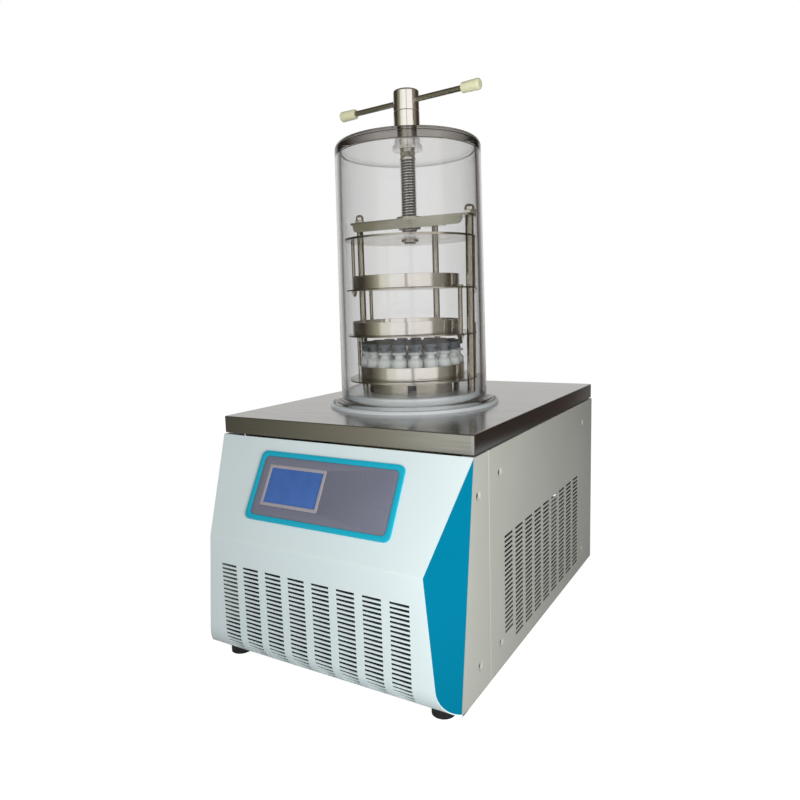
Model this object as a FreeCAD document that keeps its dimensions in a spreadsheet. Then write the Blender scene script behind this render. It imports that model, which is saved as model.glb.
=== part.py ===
import FreeCAD, Part
import math
import os
import re
import Sketcher
from FreeCAD import Placement, Rotation, Vector

# Bench freeze dryer: a refrigerated cabinet with a cold trap, and on it a clear jar over a stoppering rack.
# +Z is up, -Y is the front, the origin is on the floor under the middle of the bounding box. Millimetres.

DRIVING = {
    # cabinet
    "body_width": 400,
    "deck_step": 0.5,
    "deck_depth": 523,
    "deck_top": 342,
    "deck_rim": 24,
    "deck_gauge": 1.2,
    "deck_corner": 4,
    "deck_bend": 2,
    "rim_gap": 2.5,
    "sheet_gauge": 1.2,
    "seam_gap": 0.8,
    "rear_reach": 25,
    # front: a sheet bent at a nose and rolled under at the belly, with its two corners cut off
    "nose_reach": 72.5,
    "nose_drop": 153.5,
    "nose_half": 166,
    "nose_bend": 8,
    "belly_bend": 40,
    "tip_reach": 45,
    "strip_depth": 40,
    "return_depth": 30,
    "cheek_inset": 1,
    "cheek_gauge": 2,
    "tongue_rise": 18,
    "tongue_inset": 8,
    # front slots, on the flat and round the belly
    "front_columns": 8,
    "front_column_pitch": 38.4,
    "front_slot_width": 27.4,
    "front_slot_height": 3.2,
    "front_slot_pitch": 5.9,
    "front_rows": 17,
    "belly_rows": 5,
    "front_slot_drop": 189.5,
    # side slots; the first column stops short of a screw
    "side_columns": 9,
    "side_column_pitch": 39.2,
    "side_slot_width": 30.8,
    "side_slot_height": 3.8,
    "side_slot_pitch": 13.2,
    "side_rows": 12,
    "side_slot_start": 106,
    "side_slot_drop": 151,
    "short_rows": 11,
    "joggle_drop": 20,
    # screws of the side panels and front strips
    "screw_radius": 4.2,
    "screw_length": 8,
    "strip_screw_back": 9,
    "strip_screw_high": 75,
    "strip_screw_low": 291,
    "panel_screw_front": 77,
    "panel_screw_back": 460,
    "panel_screw_high": 62,
    "panel_screw_low": 292,
    # floor and feet
    "foot_height": 14,
    "foot_radius": 15,
    "foot_inset": 34,
    "foot_front": 27,
    "foot_back": 45,
    "pan_gauge": 1.5,
    "pan_wall": 18,
    # controls on the sloping face
    "frame_width": 229,
    "frame_height": 96,
    "frame_drop": 21,
    "frame_corner": 9,
    "frame_thick": 2.4,
    "frame_band": 7,
    "band_bend": 2,
    "fascia_thick": 1.4,
    "face_gap": 0.2,
    "bezel_left": 95,
    "bezel_width": 95.5,
    "bezel_height": 56.5,
    "bezel_drop": 39.5,
    "bezel_band": 4.4,
    "screen_thick": 1,
    "board_width": 200,
    "board_height": 84,
    "board_standoff": 6,
    "board_gauge": 1.5,
    "post_width": 6,
    # cold trap, under the deck at the jar's axis
    "axis_setback": 215.3,
    "trap_radius": 104,
    "trap_gauge": 1.5,
    "trap_depth": 165,
    "trap_bend": 14,
    "hole_gap": 0.4,
    "flange_radius": 127,
    "flange_thick": 1.5,
    "drain_bore": 5,
    "drain_tail": 38,
    "bead_radius": 132,
    "bead_width": 5,
    "bead_height": 5,
    "bead_bevel": 1.5,
    "gasket_inner": 105,
    "gasket_outer": 126,
    "gasket_thick": 3,
    "sleeve_gauge": 3,
    "foam_thick": 28,
    "foam_floor": 30,
    # guide plate over the trap
    "guide_radius": 104.4,
    "guide_height": 18,
    "guide_gauge": 1.2,
    "guide_bend": 3,
    "guide_bore": 31,
    "guide_tube": 56,
    "seal_gap": 0.3,
    # refrigeration
    "compressor_radius": 64,
    "compressor_height": 170,
    "compressor_bend": 34,
    "compressor_x": 80,
    "compressor_y": 192,
    "mount_width": 150,
    "mount_depth": 100,
    "mount_thick": 3,
    "mount_lift": 14,
    "grommet_radius": 9,
    "line_radius": 4,
    "suction_level": 158,
    "discharge_level": 45,
    "liquid_level": 100,
    "liquid_x": 110,
    "line_side": 156,
    "condenser_width": 270,
    "condenser_depth": 44,
    "condenser_height": 128,
    "condenser_setback": 45,
    "cowl_depth": 26,
    "cowl_bore": 58,
    "fan_radius": 54,
    "fan_hub": 17,
    "fan_depth": 20,
    "fan_blades": 5,
    "blade_angle": 28,
    "blade_chord": 26,
    "blade_gauge": 1.4,
    "motor_radius": 26,
    "motor_length": 44,
    "motor_shaft": 3,
    "motor_gap": 3,
    "running_gap": 0.05,
    # rear
    "port_radius": 20,
    "port_bore": 12.5,
    "port_neck": 15,
    "port_flange": 3,
    "port_taper": 3,
    "port_z": 262,
    "inlet_inset": 80,
    "inlet_z": 80,
    "inlet_width": 50,
    "inlet_height": 76,
    "inlet_proud": 2,
    "inlet_depth": 24,
    "inlet_lip": 3,
    "inlet_corner": 3,
    "socket_width": 24,
    "socket_height": 17,
    "socket_depth": 16,
    "socket_drop": 15,
    "contact_pitch": 7,
    "contact_width": 2,
    "contact_height": 6,
    "contact_length": 12,
    "rocker_rise": 20,
    "rocker_width": 17,
    "rocker_height": 24,
    "rocker_depth": 5,
    "rocker_angle": 7,
    "rocker_pin": 1.5,
    "rocker_dip": 1.5,
    "rocker_side_gap": 0.4,
    "rocker_end_gap": 1,
    "trunnion_length": 3,
    "drain_z": 64,
    "valve_radius": 8,
    "valve_reach": 20,
    "valve_root": 12,
    "bonnet_radius": 7,
    "bonnet_top": 12,
    "outlet_bore": 4,
    "outlet_depth": 6,
    "lever_length": 40,
    "lever_width": 8,
    "lever_thick": 3,
    "stem_radius": 3,
    "rear_slots": 14,
    "rear_slot_pitch": 12,
    "rear_slot_height": 5,
    "rear_slot_width": 120,
    "rear_slot_drop": 60,
    # jar
    "jar_radius": 114,
    "jar_top_radius": 109.6,
    "jar_height": 389.2,
    "jar_wall": 8,
    "roof_thick": 15.4,
    "roof_bend": 11,
    "hollow_bend": 6,
    "foot_rim": 125,
    "rim_thick": 5,
    "rim_bend": 7,
    "gland_bore": 10.1,
    # gland and handle
    "gland_stem": 10,
    "sleeve_radius": 19.7,
    "sleeve_height": 43.7,
    "skirt_radius": 23,
    "skirt_height": 8,
    "locknut_radius": 13,
    "locknut_height": 5.4,
    "shaft_radius": 6,
    "shaft_gap": 0.05,
    "seal_depth": 8,
    "seal_inner": 6.3,
    "seal_outer": 10,
    "thrust_radius": 8.5,
    "thrust_height": 1.5,
    "tongue_width": 15,
    "tongue_thick": 7.4,
    "tongue_length": 26,
    "tongue_gap": 0.3,
    "head_radius": 19.4,
    "head_height": 30.2,
    "head_bend": 3,
    "head_gap": 0.3,
    "bar_radius": 4,
    "bar_half": 110,
    "bar_angle": -4.8,
    "knob_length": 29,
    "knob_radius": 8,
    "knob_bend": 3,
    "knob_reach": 125,
    # rack
    "rack_radius": 100,
    "rack_angle": 2.5,
    "column_radius": 5.5,
    "column_orbit": 94,
    "column_angle": 87,
    "column_gap": 0.6,
    "lower_level": 39.8,
    "middle_level": 107.4,
    "upper_level": 175.5,
    "press_level": 250.5,
    "bridge_level": 279.5,
    "shelf_thick": 2,
    "press_thick": 3,
    "bridge_thick": 3,
    "ring_radius": 72,
    "ring_gauge": 1.5,
    "ring_ports": 6,
    "ring_port_width": 13,
    "ring_port_height": 14,
    "ring_angle": 27,
    "bridge_arm": 20,
    "bridge_reach": 101,
    "lip_height": 12,
    "lip_thick": 2,
    "lip_half": 92,
    "lip_bend": 8,
    "acorn_radius": 8.5,
    "acorn_height": 15,
    "acorn_base": 8,
    "acorn_bend": 6,
    "stud_radius": 4,
    # press screw and its nut in the bridge
    "thread_radius": 12.3,
    "thread_gap": 0.08,
    "crown_gap": 0.4,
    "slot_depth": 46,
    "nut_flange": 19.8,
    "nut_flange_thick": 3,
    "nut_radius": 17,
    "nut_length": 16,
    "foot_collar": 18.5,
    "foot_thick": 6,
    "clip_radius": 9,
    "clip_thick": 2,
    "boss_radius": 13,
    "boss_thick": 3,
    # rods that carry the shelves
    "rod_radius": 3,
    "rod_orbit": 96,
    "rod_gap": 0.3,
    "rod_head": 4.5,
    "rod_head_thick": 2.5,
    "cone_radius": 5.5,
    "cone_tip": 2,
    "cone_height": 8,
    "upper_right_angle": 14,
    "upper_left_angle": 194,
    "middle_right_angle": -15,
    "middle_left_angle": 165,
    "lower_right_angle": 22,
    "lower_left_angle": 188,
    "guide_rise": 14,
    # trays and vials
    "tray_radius": 83,
    "tray_height": 20,
    "tray_gauge": 0.8,
    "upper_tray_x": -5.3,
    "upper_tray_y": -7.8,
    "middle_tray_x": -5.4,
    "middle_tray_y": -10.2,
    "lower_tray_x": -2,
    "lower_tray_y": -1,
    "vial_radius": 11,
    "vial_height": 41.4,
    "vial_bore": 6.3,
    "vial_floor": 2,
    "stopper_radius": 9.5,
    "stopper_raise": 7,
    "stopper_cap": 5,
    "plug_radius": 6,
    "plug_length": 12,
    "outer_vials": 19,
    "outer_orbit": 70.5,
}

# Sizes that follow from the driving ones.
DERIVED = {
    "half_width": "body_width / 2",
    "inlet_x": "inlet_inset - half_width",
    "deck_width": "body_width - deck_step * 2",
    "deck_front": "(nose_reach - deck_depth - rear_reach) / 2",
    "deck_back": "deck_front + deck_depth",
    "axis_y": "deck_front + axis_setback",
    "rim_bottom": "deck_top - deck_rim",
    "panel_top": "rim_bottom - rim_gap",
    "seam_y": "deck_front + strip_depth",
    "nose_y": "deck_front - nose_reach",
    "slope_drop": "nose_drop - deck_rim",
    "slope_length": "sqrt(nose_reach * nose_reach + slope_drop * slope_drop)",
    "slope_angle": "atan(nose_reach / slope_drop)",
    "edge_lean": "tip_reach / (rim_bottom - foot_height)",
    "cut_ratio": "(half_width - nose_half) / (nose_reach - edge_lean * slope_drop)",
    "flange_top": "deck_top + flange_thick",
    "gasket_top": "flange_top + gasket_thick",
    "guide_top": "flange_top + guide_height",
    "jar_base": "gasket_top + seal_gap",
    "jar_top": "jar_base + jar_height",
    "roof_under": "jar_top - roof_thick",
    "sleeve_top": "jar_top + sleeve_height",
    "head_base": "sleeve_top + head_gap",
    "bar_level": "head_base + head_height / 2",
    "locknut_base": "roof_under - locknut_height",
    "thrust_top": "locknut_base - head_gap",
    "thrust_base": "thrust_top - thrust_height",
    "lower_top": "deck_top + lower_level + shelf_thick / 2",
    "lower_base": "lower_top - shelf_thick",
    "middle_top": "deck_top + middle_level + shelf_thick / 2",
    "middle_base": "middle_top - shelf_thick",
    "upper_top": "deck_top + upper_level + shelf_thick / 2",
    "upper_base": "upper_top - shelf_thick",
    "press_top": "deck_top + press_level + press_thick / 2",
    "press_base": "press_top - press_thick",
    "bridge_top": "deck_top + bridge_level + bridge_thick / 2",
    "bridge_base": "bridge_top - bridge_thick",
    "screw_crown": "thrust_base - crown_gap",
    "tray_floor": "lower_top + tray_gauge",
    "vial_top": "tray_floor + vial_height",
    "notch_radius": "column_radius + column_gap",
    "rod_hole": "rod_radius + rod_gap",
    "column_right": "90 + rack_angle - column_angle",
    "column_rear": "90 + rack_angle",
    "column_left": "90 + rack_angle + column_angle",
    "foam_radius": "trap_radius + sleeve_gauge + foam_thick",
    "condenser_front": "nose_y + condenser_setback",
    "condenser_back": "condenser_front + condenser_depth",
    "condenser_floor": "foot_height + pan_gauge",
    "flat_end": "deck_top - front_slot_drop - front_slot_pitch * (front_rows - 1) - front_slot_height / 2",
    "fan_level": "condenser_floor + condenser_height / 2",
    "cowl_back": "condenser_back + cowl_depth",
    "trap_bottom": "deck_top - trap_depth",
    "wall_inner": "half_width - sheet_gauge",
    "rear_inner": "deck_back - sheet_gauge",
    "foot_base": "press_top + seal_gap",
    "boss_bottom": "press_base - boss_thick",
}

NAME = re.compile(r"[a-z][a-z_]+")

doc = FreeCAD.newDocument("freeze_dryer")
sheet = doc.addObject("Spreadsheet::Sheet", "sizes")
for row, (alias, number) in enumerate(DRIVING.items(), 1):
    sheet.set(f"A{row}", str(number))
    sheet.setAlias(f"A{row}", alias)
doc.recompute()


def bound(text):
    """An expression with each size in it replaced by its cell or by its own expression."""
    def cell(match):
        name = match.group(0)
        if name in DRIVING:
            return f"sizes.{name}"
        if name in DERIVED:
            return f"({bound(DERIVED[name])})"
        return name
    return NAME.sub(cell, str(text))


def value(text):
    return float(sheet.evalExpression(bound(text)))


def tie(thing, paths):
    """Bind properties of an object to the sheet."""
    for path, text in paths.items():
        thing.setExpression(path, bound(text))
    return thing


def placed(thing, x="0", y="0", z="0"):
    return tie(thing, {".Placement.Base.x": x, ".Placement.Base.y": y, ".Placement.Base.z": z})


def on_axis(thing, z="0"):
    """Stand a piece on the jar's axis."""
    return placed(thing, y="axis_y", z=z)


def new_body(label):
    body = doc.addObject("PartDesign::Body", label)
    body.Label = label
    return body


def plane_of(body, role):
    return next(feature for feature in body.Origin.OriginFeatures if feature.Role == role)


def hold_point(sketch, geometry, point, x, y):
    """Tie one point of a sketch to two expressions."""
    if x == "0" and y == "0":
        sketch.addConstraint(Sketcher.Constraint("Coincident", geometry, point, -1, 1))
        return
    for kind, axis, text in (("DistanceX", -2, x), ("DistanceY", -1, y)):
        if text == "0":
            sketch.addConstraint(Sketcher.Constraint("PointOnObject", geometry, point, axis))
            continue
        index = sketch.addConstraint(Sketcher.Constraint(kind, -1, 1, geometry, point, value(text)))
        sketch.setExpression(f"Constraints[{index}]", bound(text))


def add_outline(sketch, corners):
    """A closed outline of straight edges through the corners."""
    start = sketch.GeometryCount
    points = [Vector(value(x), value(y), 0) for x, y in corners]
    count = len(points)
    for index, point in enumerate(points):
        sketch.addGeometry(Part.LineSegment(point, points[(index + 1) % count]), False)
    for index in range(count):
        follower = start + (index + 1) % count
        sketch.addConstraint(Sketcher.Constraint("Coincident", start + index, 2, follower, 1))
    for index, (x, y) in enumerate(corners):
        hold_point(sketch, start + index, 1, x, y)


def add_circle(sketch, x, y, radius):
    circle = Part.Circle(Vector(value(x), value(y), 0), Vector(0, 0, 1), value(radius))
    geometry = sketch.addGeometry(circle, False)
    hold_point(sketch, geometry, 3, x, y)
    index = sketch.addConstraint(Sketcher.Constraint("Radius", geometry, value(radius)))
    sketch.setExpression(f"Constraints[{index}]", bound(radius))


def drawn(body, role, outlines=(), circles=(), offset="0"):
    """A sketch on one of the body's own planes, moved along that plane's normal by the offset."""
    sketch = body.newObject("Sketcher::SketchObject", f"{body.Name}_sketch")
    sketch.AttachmentSupport = (plane_of(body, role), [""])
    sketch.MapMode = "FlatFace"
    if offset != "0":
        tie(sketch, {".AttachmentOffset.Base.z": offset})
    for corners in outlines:
        add_outline(sketch, corners)
    for circle in circles:
        add_circle(sketch, *circle)
    return sketch


def rectangle(x, y, width, height):
    """The corners of a rectangle, from its lowest corner."""
    right = f"{x} + {width}"
    top = f"{y} + {height}"
    return [(x, y), (right, y), (right, top), (x, top)]


def pad(body, sketch, length, symmetric=False, reverse=False):
    feature = body.newObject("PartDesign::Pad", f"{body.Name}_pad")
    feature.Profile = sketch
    feature.SideType = "Symmetric" if symmetric else "One side"
    feature.Reversed = reverse
    return tie(feature, {"Length": length})


def pocket(body, sketch, depth, symmetric=False, reverse=False):
    feature = body.newObject("PartDesign::Pocket", f"{body.Name}_pocket")
    feature.Profile = sketch
    feature.SideType = "Symmetric" if symmetric else "One side"
    feature.Reversed = reverse
    return tie(feature, {"Length": depth})


def plate(label, thickness, outlines=(), circles=(), role="XY_Plane", offset="0"):
    """A flat piece: its outlines and holes drawn once, and padded."""
    body = new_body(label)
    pad(body, drawn(body, role, outlines, circles, offset), thickness)
    return body


def turned(label, corners, body=None):
    """A piece turned about Z. Each corner is a radius and a height."""
    body = body or new_body(label)
    sketch = drawn(body, "XZ_Plane", [corners])
    feature = body.newObject("PartDesign::Revolution", f"{body.Name}_turn")
    feature.Profile = sketch
    feature.ReferenceAxis = (sketch, ["V_Axis"])
    feature.Angle = 360
    return body


def rounded(body, radius, test):
    """Round every edge of the body's latest shape that passes the test."""
    doc.recompute()
    base = body.Tip
    names = [f"Edge{number}" for number, edge in enumerate(base.Shape.Edges, 1) if test(edge)]
    feature = body.newObject("PartDesign::Fillet", f"{body.Name}_fillet")
    feature.Base = (base, names)
    return tie(feature, {"Radius": radius})


def near(first, second):
    return abs(first - second) < 1e-3


def rim_at(radius, height):
    """Picks the circular edge of that radius and height about Z."""
    r_value = value(radius)
    z_value = value(height)

    def test(edge):
        curve = edge.Curve
        return (isinstance(curve, Part.Circle) and near(curve.Radius, r_value)
                and near(curve.Center.z, z_value))
    return test


def line_along(axis, **where):
    """Picks straight edges along an axis whose other coordinates are as given."""
    targets = {name: value(text) for name, text in where.items()}

    def test(edge):
        if not isinstance(edge.Curve, Part.Line):
            return False
        direction = edge.Vertexes[1].Point - edge.Vertexes[0].Point
        if not near(abs(getattr(direction, axis)), edge.Length):
            return False
        return all(near(getattr(edge.Vertexes[0].Point, name), target) for name, target in targets.items())
    return test


def cylinder(name, radius, height, x="0", y="0", z="0"):
    thing = doc.addObject("Part::Cylinder", name)
    tie(thing, {"Radius": radius, "Height": height})
    return placed(thing, x, y, z)


def box(name, size, corner):
    """A box of three lengths, from its lowest corner."""
    thing = doc.addObject("Part::Box", name)
    tie(thing, dict(zip(("Length", "Width", "Height"), size)))
    return placed(thing, *corner)


def fused(label, things):
    thing = doc.addObject("Part::MultiFuse", label)
    thing.Shapes = things
    thing.Refine = True
    thing.Label = label
    return thing


def grouped(label, things):
    """Like pieces that stay separate solids in one node."""
    thing = doc.addObject("Part::Compound", label)
    thing.Links = things
    thing.Label = label
    return thing


def cut(label, base, tool):
    thing = doc.addObject("Part::Cut", label)
    thing.Base = base
    thing.Tool = tool
    thing.Label = label
    return thing


def mirrored(label, source):
    """The left-hand twin of a right-hand piece."""
    thing = doc.addObject("Part::Mirroring", label)
    thing.Source = source
    thing.Normal = Vector(1, 0, 0)
    thing.Label = label
    return thing


def around(orbit, azimuth):
    """The X and Y expressions of a point on a circle about the jar's axis."""
    return f"{orbit} * cos({azimuth})", f"{orbit} * sin({azimuth})"


parts = {}


def keep(thing):
    parts[thing.Label] = thing
    return thing


# ---------------------------------------------------------------- deck

deck = new_body("deck")
deck_outline = rectangle("-deck_width / 2", "deck_front", "deck_width", "deck_depth")
pad(deck, drawn(deck, "XY_Plane", [deck_outline], offset="rim_bottom"), "deck_rim")
rounded(deck, "deck_corner", line_along("z"))
rounded(deck, "deck_bend", lambda edge: near(edge.BoundBox.ZMin, value("deck_top")))
hollow = rectangle("-deck_width / 2 + deck_gauge", "deck_front + deck_gauge", "deck_width - deck_gauge * 2",
                   "deck_depth - deck_gauge * 2")
pocket(deck, drawn(deck, "XY_Plane", [hollow], offset="rim_bottom"), "deck_rim - deck_gauge", reverse=True)
deck_hole = drawn(deck, "XY_Plane", circles=[("0", "axis_y", "trap_radius + hole_gap")], offset="deck_top")
pocket(deck, deck_hole, "deck_gauge * 3", symmetric=True)
keep(deck)

# ---------------------------------------------------------------- front shroud


def front_profile(inset, back, top):
    """The front's side outline, moved inwards by the inset: a slope down to the nose, then straight down."""
    slope_y = f"(deck_front + ({inset}) * slope_length / slope_drop"
    top_y = f"{slope_y} - (rim_bottom - ({top})) * nose_reach / slope_drop)"
    wall_y = f"(nose_y + ({inset}))"
    nose_run = f"(nose_reach - ({inset}) + ({inset}) * slope_length / slope_drop)"
    bend_z = f"(rim_bottom - {nose_run} * slope_drop / nose_reach)"
    floor_z = f"(foot_height + ({inset}))"
    return [(top_y, top), (wall_y, bend_z), (wall_y, floor_z), (back, floor_z)], bend_z, wall_y, floor_z


def corner_cut(body, inset, inward=False):
    """Take away what lies outside the sloping corner plane, or inside it, by a loft between two levels."""
    levels = ("foot_height - tip_reach", "panel_top + tip_reach")
    reach = "(nose_reach * 2)"
    sketches = []
    for level in levels:
        line_y = f"(deck_front - edge_lean * (rim_bottom - ({level})))"
        base_x = f"(half_width - ({inset}))"
        near_x = f"({base_x} + cut_ratio * {reach})"
        far_x = f"({base_x} - cut_ratio * {reach})"
        corners = [(near_x, f"{line_y} + {reach}"), (far_x, f"{line_y} - {reach}")]
        if inward:
            corners += [("-half_width", f"{line_y} - {reach}"), ("-half_width", f"{line_y} + {reach}")]
        else:
            corners.append((near_x, f"{line_y} - {reach}"))
        sketches.append(drawn(body, "XY_Plane", [corners], offset=level))
    loft = body.newObject("PartDesign::SubtractiveLoft", f"{body.Name}_corner")
    loft.Profile = sketches[0]
    loft.Sections = [sketches[1]]
    loft.Ruled = True
    return loft


shroud = new_body("front_shroud")
return_end = "deck_front - return_depth"
outer, nose_at, wall_at, floor_at = front_profile("0", return_end, "panel_top")
inner, inner_nose, inner_wall, inner_floor = front_profile("sheet_gauge", return_end, "panel_top")
pad(shroud, drawn(shroud, "YZ_Plane", [outer + inner[::-1]]), "body_width", symmetric=True)
rounded(shroud, "nose_bend", line_along("x", y=wall_at, z=nose_at))
rounded(shroud, "nose_bend - sheet_gauge", line_along("x", y=inner_wall, z=inner_nose))
rounded(shroud, "belly_bend", line_along("x", y=wall_at, z=floor_at))
rounded(shroud, "belly_bend - sheet_gauge", line_along("x", y=inner_wall, z=inner_floor))
tongue_y = "deck_front + deck_gauge"
tongue_drop = "(rim_bottom - panel_top + sheet_gauge * 3)"
slope_at = f"deck_front - {tongue_drop} * nose_reach / slope_drop + sheet_gauge / 2"
pad(shroud, drawn(shroud, "YZ_Plane", [[
    (slope_at, "panel_top - sheet_gauge * 3"),
    (f"{tongue_y} + sheet_gauge", "panel_top - sheet_gauge * 3"),
    (f"{tongue_y} + sheet_gauge", "panel_top + tongue_rise"),
    (tongue_y, "panel_top + tongue_rise"),
    (tongue_y, "panel_top - sheet_gauge * 2"),
    (slope_at, "panel_top - sheet_gauge * 2"),
]]), "deck_width - tongue_inset * 2", symmetric=True)
right_cut = corner_cut(shroud, "0")
left_cut = shroud.newObject("PartDesign::Mirrored", "front_shroud_left_cut")
left_cut.Originals = [right_cut]
left_cut.MirrorPlane = (plane_of(shroud, "YZ_Plane"), [""])
shroud.Tip = left_cut

slot_left = "-(front_columns - 1) * front_column_pitch / 2 - front_slot_width / 2"
slot_corners = rectangle(slot_left, "deck_top - front_slot_drop - front_slot_height", "front_slot_width",
                         "front_slot_height")
slot_sketch = drawn(shroud, "XZ_Plane", [slot_corners], offset="-nose_y - sheet_gauge * 3")
slot = pocket(shroud, slot_sketch, "sheet_gauge * 6", reverse=True)
slot_field = shroud.newObject("PartDesign::LinearPattern", "front_slots")
slot_field.Originals = [slot]
slot_field.Direction = (slot_sketch, ["H_Axis"])
slot_field.Direction2 = (slot_sketch, ["V_Axis"])
slot_field.Reversed2 = True
tie(slot_field, {"Length": "front_column_pitch * (front_columns - 1)", "Occurrences": "front_columns",
                 "Length2": "front_slot_pitch * (front_rows - 1)", "Occurrences2": "front_rows"})
shroud.Tip = slot_field

belly_hub = drawn(shroud, "YZ_Plane", circles=[("0", "0", "belly_bend")])
tie(belly_hub, {".AttachmentOffset.Base.x": "nose_y + belly_bend",
                ".AttachmentOffset.Base.y": "foot_height + belly_bend"})
first_angle = "(front_slot_pitch - (flat_end - foot_height - belly_bend)) / belly_bend * 180 / pi"
outside = "-belly_bend - sheet_gauge * 3"
inside = "-belly_bend + sheet_gauge * 3"
belly_sketch = drawn(shroud, "YZ_Plane", [[
    (f"nose_y + belly_bend + ({u}) * cos({first_angle}) - ({v}) * sin({first_angle})",
     f"foot_height + belly_bend + ({u}) * sin({first_angle}) - ({v}) * cos({first_angle})")
    for u, v in ((outside, "-front_slot_height / 2"), (inside, "-front_slot_height / 2"),
                 (inside, "front_slot_height / 2"), (outside, "front_slot_height / 2"))
]], offset="-(front_columns - 1) * front_column_pitch / 2")
belly_slot = pocket(shroud, belly_sketch, "front_slot_width", symmetric=True)
belly_field = shroud.newObject("PartDesign::MultiTransform", "belly_slots")
belly_field.Originals = [belly_slot]
row = shroud.newObject("PartDesign::LinearPattern", "belly_row")
row.Direction = (belly_hub, ["N_Axis"])
tie(row, {"Length": "front_column_pitch * (front_columns - 1)", "Occurrences": "front_columns"})
turn = shroud.newObject("PartDesign::PolarPattern", "belly_turn")
turn.Axis = (belly_hub, ["N_Axis"])
tie(turn, {"Angle": "front_slot_pitch / belly_bend * 180 / pi * (belly_rows - 1)",
           "Occurrences": "belly_rows"})
belly_field.Transformations = [row, turn]
shroud.Tip = belly_field
keep(shroud)

# ---------------------------------------------------------------- coloured cheeks in the cut corners

cheek = new_body("cheek_right")
shape, cheek_nose, cheek_wall, cheek_floor = front_profile("sheet_gauge", "deck_front", "panel_top")
shape.append(("deck_front", "panel_top"))
pad(cheek, drawn(cheek, "YZ_Plane", [shape]), "wall_inner")
rounded(cheek, "nose_bend - sheet_gauge", line_along("x", y=cheek_wall, z=cheek_nose))
rounded(cheek, "belly_bend - sheet_gauge", line_along("x", y=cheek_wall, z=cheek_floor))
corner_cut(cheek, "cheek_inset")
corner_cut(cheek, "cheek_inset + cheek_gauge", inward=True)
keep(cheek)
keep(mirrored("cheek_left", cheek))

strip = new_body("corner_strip_right")
strip_corners = [
    ("deck_front - edge_lean * rim_gap", "panel_top"),
    ("deck_front - tip_reach + edge_lean * sheet_gauge", "foot_height + sheet_gauge"),
    ("deck_front - return_depth", "foot_height + sheet_gauge"),
    ("deck_front - return_depth", "foot_height"),
    ("seam_y", "foot_height"),
    ("seam_y", "panel_top"),
]
pad(strip, drawn(strip, "YZ_Plane", [strip_corners], offset="half_width - sheet_gauge"), "sheet_gauge")
strip_back = rectangle("seam_y - tongue_inset", "foot_height + joggle_drop", "tongue_inset * 2",
                       "panel_top - foot_height - joggle_drop * 2")
pad(strip, drawn(strip, "YZ_Plane", [strip_back], offset="half_width - sheet_gauge * 2"), "sheet_gauge")
strip_holes = [("deck_front + strip_screw_back", f"deck_top - strip_screw_{level}", "screw_radius")
               for level in ("high", "low")]
strip_hole_sketch = drawn(strip, "YZ_Plane", circles=strip_holes, offset="half_width")
pocket(strip, strip_hole_sketch, "sheet_gauge * 5", symmetric=True)
keep(strip)
keep(mirrored("corner_strip_left", strip))

# ---------------------------------------------------------------- side and rear panels, floor, feet

panel = new_body("side_panel_right")
panel_profile = [
    ("wall_inner", "foot_height"),
    ("half_width", "foot_height"),
    ("half_width", "panel_top"),
    ("deck_width / 2 - deck_gauge", "panel_top"),
    ("deck_width / 2 - deck_gauge", "panel_top + tongue_rise"),
    ("deck_width / 2 - deck_gauge * 2", "panel_top + tongue_rise"),
    ("deck_width / 2 - deck_gauge * 2", "panel_top - joggle_drop"),
    ("wall_inner", "panel_top - joggle_drop"),
]
panel_sketch = drawn(panel, "XZ_Plane", [panel_profile], offset="-seam_y - seam_gap")
pad(panel, panel_sketch, "rear_inner - seam_y - seam_gap", reverse=True)
first_column = "deck_front + side_slot_start - side_slot_width / 2"
slot_bottom = "deck_top - side_slot_drop - side_slot_height"
short_corners = rectangle(first_column, slot_bottom, "side_slot_width", "side_slot_height")
short_sketch = drawn(panel, "YZ_Plane", [short_corners], offset="half_width")
short_slot = pocket(panel, short_sketch, "sheet_gauge * 4", symmetric=True)
short_field = panel.newObject("PartDesign::LinearPattern", "short_column")
short_field.Originals = [short_slot]
short_field.Direction = (short_sketch, ["V_Axis"])
short_field.Reversed = True
tie(short_field, {"Length": "side_slot_pitch * (short_rows - 1)", "Occurrences": "short_rows"})
panel.Tip = short_field
next_column = f"{first_column} + side_column_pitch"
long_corners = rectangle(next_column, slot_bottom, "side_slot_width", "side_slot_height")
long_sketch = drawn(panel, "YZ_Plane", [long_corners], offset="half_width")
long_slot = pocket(panel, long_sketch, "sheet_gauge * 4", symmetric=True)
long_field = panel.newObject("PartDesign::LinearPattern", "long_columns")
long_field.Originals = [long_slot]
long_field.Direction = (long_sketch, ["H_Axis"])
long_field.Direction2 = (long_sketch, ["V_Axis"])
long_field.Reversed2 = True
tie(long_field, {"Length": "side_column_pitch * (side_columns - 2)", "Occurrences": "side_columns - 1",
                 "Length2": "side_slot_pitch * (side_rows - 1)", "Occurrences2": "side_rows"})
panel.Tip = long_field
panel_holes = [(f"deck_front + panel_screw_{end}", f"deck_top - panel_screw_{level}", "screw_radius")
               for end in ("front", "back") for level in ("high", "low")]
panel_hole_sketch = drawn(panel, "YZ_Plane", circles=panel_holes, offset="half_width")
pocket(panel, panel_hole_sketch, "sheet_gauge * 4", symmetric=True)
keep(panel)
keep(mirrored("side_panel_left", panel))

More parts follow.
